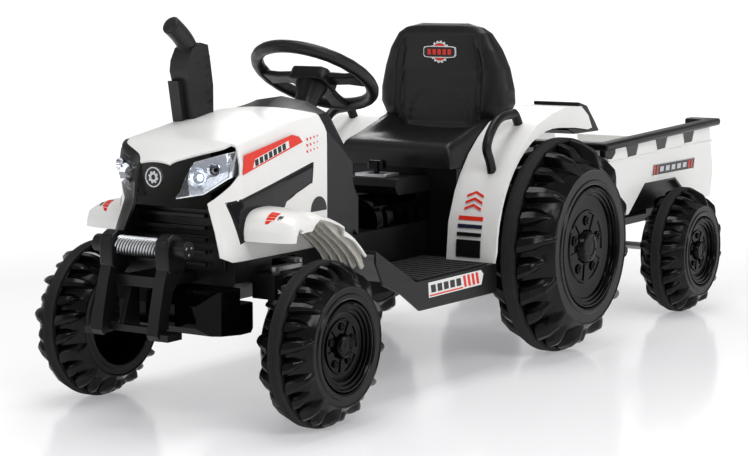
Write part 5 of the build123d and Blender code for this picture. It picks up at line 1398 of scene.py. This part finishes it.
# ---------------------------------------------------------------- add-on
class TractorSettings(bpy.types.PropertyGroup):
    """Sizes and colours that a user would change."""

    body_colour: bpy.props.FloatVectorProperty(
        name="Body colour", description="Colour of the white shells", default=(0.80, 0.795, 0.78), subtype="COLOR",
        min=0.0, max=1.0,
    )
    black_colour: bpy.props.FloatVectorProperty(
        name="Black colour", description="Colour of the black mouldings", default=(0.005, 0.005, 0.0055),
        subtype="COLOR", min=0.0, max=1.0,
    )
    floor_size: bpy.props.FloatProperty(
        name="Floor half size", description="Half the width of the studio floor", default=12.0, unit="LENGTH", min=1.0,
    )
    ambient: bpy.props.FloatProperty(
        name="Ambient light", description="Strength of the even light from all sides", default=0.42, min=0.0,
    )
    light_level: bpy.props.FloatProperty(
        name="Lamp level", description="Multiplies every studio lamp", default=1.0, min=0.0,
    )


def operator(name, label, words, action, with_settings=False):
    """An operator class that runs one building step and reports it finished."""

    def execute(self, context):
        if with_settings:
            action(context.scene.tractor_settings)
        else:
            action()
        return {"FINISHED"}

    return type(
        "TRACTOR_OT_" + name,
        (bpy.types.Operator,),
        {"__doc__": words, "bl_idname": "tractor." + name, "bl_label": label, "execute": execute},
    )


OPERATORS = (
    operator("paints", "Mix finishes", "Make every procedural finish", mix_paints, True),
    operator("stage", "Studio", "Floor, lamps and camera", make_stage, True),
    operator("wheels", "Wheels", "Tyres, traction bands and hub covers", make_wheels),
    operator("seat", "Seat", "Bucket seat with its emblem", make_seat),
    operator("hood", "Hood and nose", "Hood, nose mask, lamps and windows", make_hood),
    operator("graphics", "Graphics", "Printed bands, bars and dots", make_graphics),
    operator("fenders", "Fenders", "Front and rear fenders with liners", make_fenders),
    operator("steering", "Steering wheel", "Rim, spokes and hub pad", make_steering),
    operator("exhaust", "Exhaust", "Stack, pipe and slots", make_exhaust),
    operator("front", "Bumper", "Bumper, winch and weight", make_front),
    operator("boards", "Footboards", "Footboards, console, controls and running gear", make_boards),
    operator("trailer", "Trailer", "Tub, rail, tailgate and frame", make_trailer),
)


class TRACTOR_PT_panel(bpy.types.Panel):
    """Sidebar panel that lists the building steps."""

    bl_label = "Tractor"
    bl_idname = "TRACTOR_PT_panel"
    bl_space_type = "VIEW_3D"
    bl_region_type = "UI"
    bl_category = "Tractor"

    def draw(self, context):
        for key in TractorSettings.__annotations__:
            self.layout.prop(context.scene.tractor_settings, key)
        for step in OPERATORS:
            self.layout.operator(step.bl_idname)


CLASSES = (TractorSettings, *OPERATORS, TRACTOR_PT_panel)


def register():
    """Registers the classes and the settings."""
    for item in CLASSES:
        bpy.utils.register_class(item)
    bpy.types.Scene.tractor_settings = bpy.props.PointerProperty(type=TractorSettings)


def unregister():
    """Takes the classes and the settings away again."""
    del bpy.types.Scene.tractor_settings
    for item in reversed(CLASSES):
        bpy.utils.unregister_class(item)


def main():
    """Registers the add-on, runs every step in order and writes the two boxes."""
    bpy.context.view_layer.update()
    register()
    for step in OPERATORS:
        group, name = step.bl_idname.split(".")
        getattr(getattr(bpy.ops, group), name)()


if __name__ == "__main__":
    main()
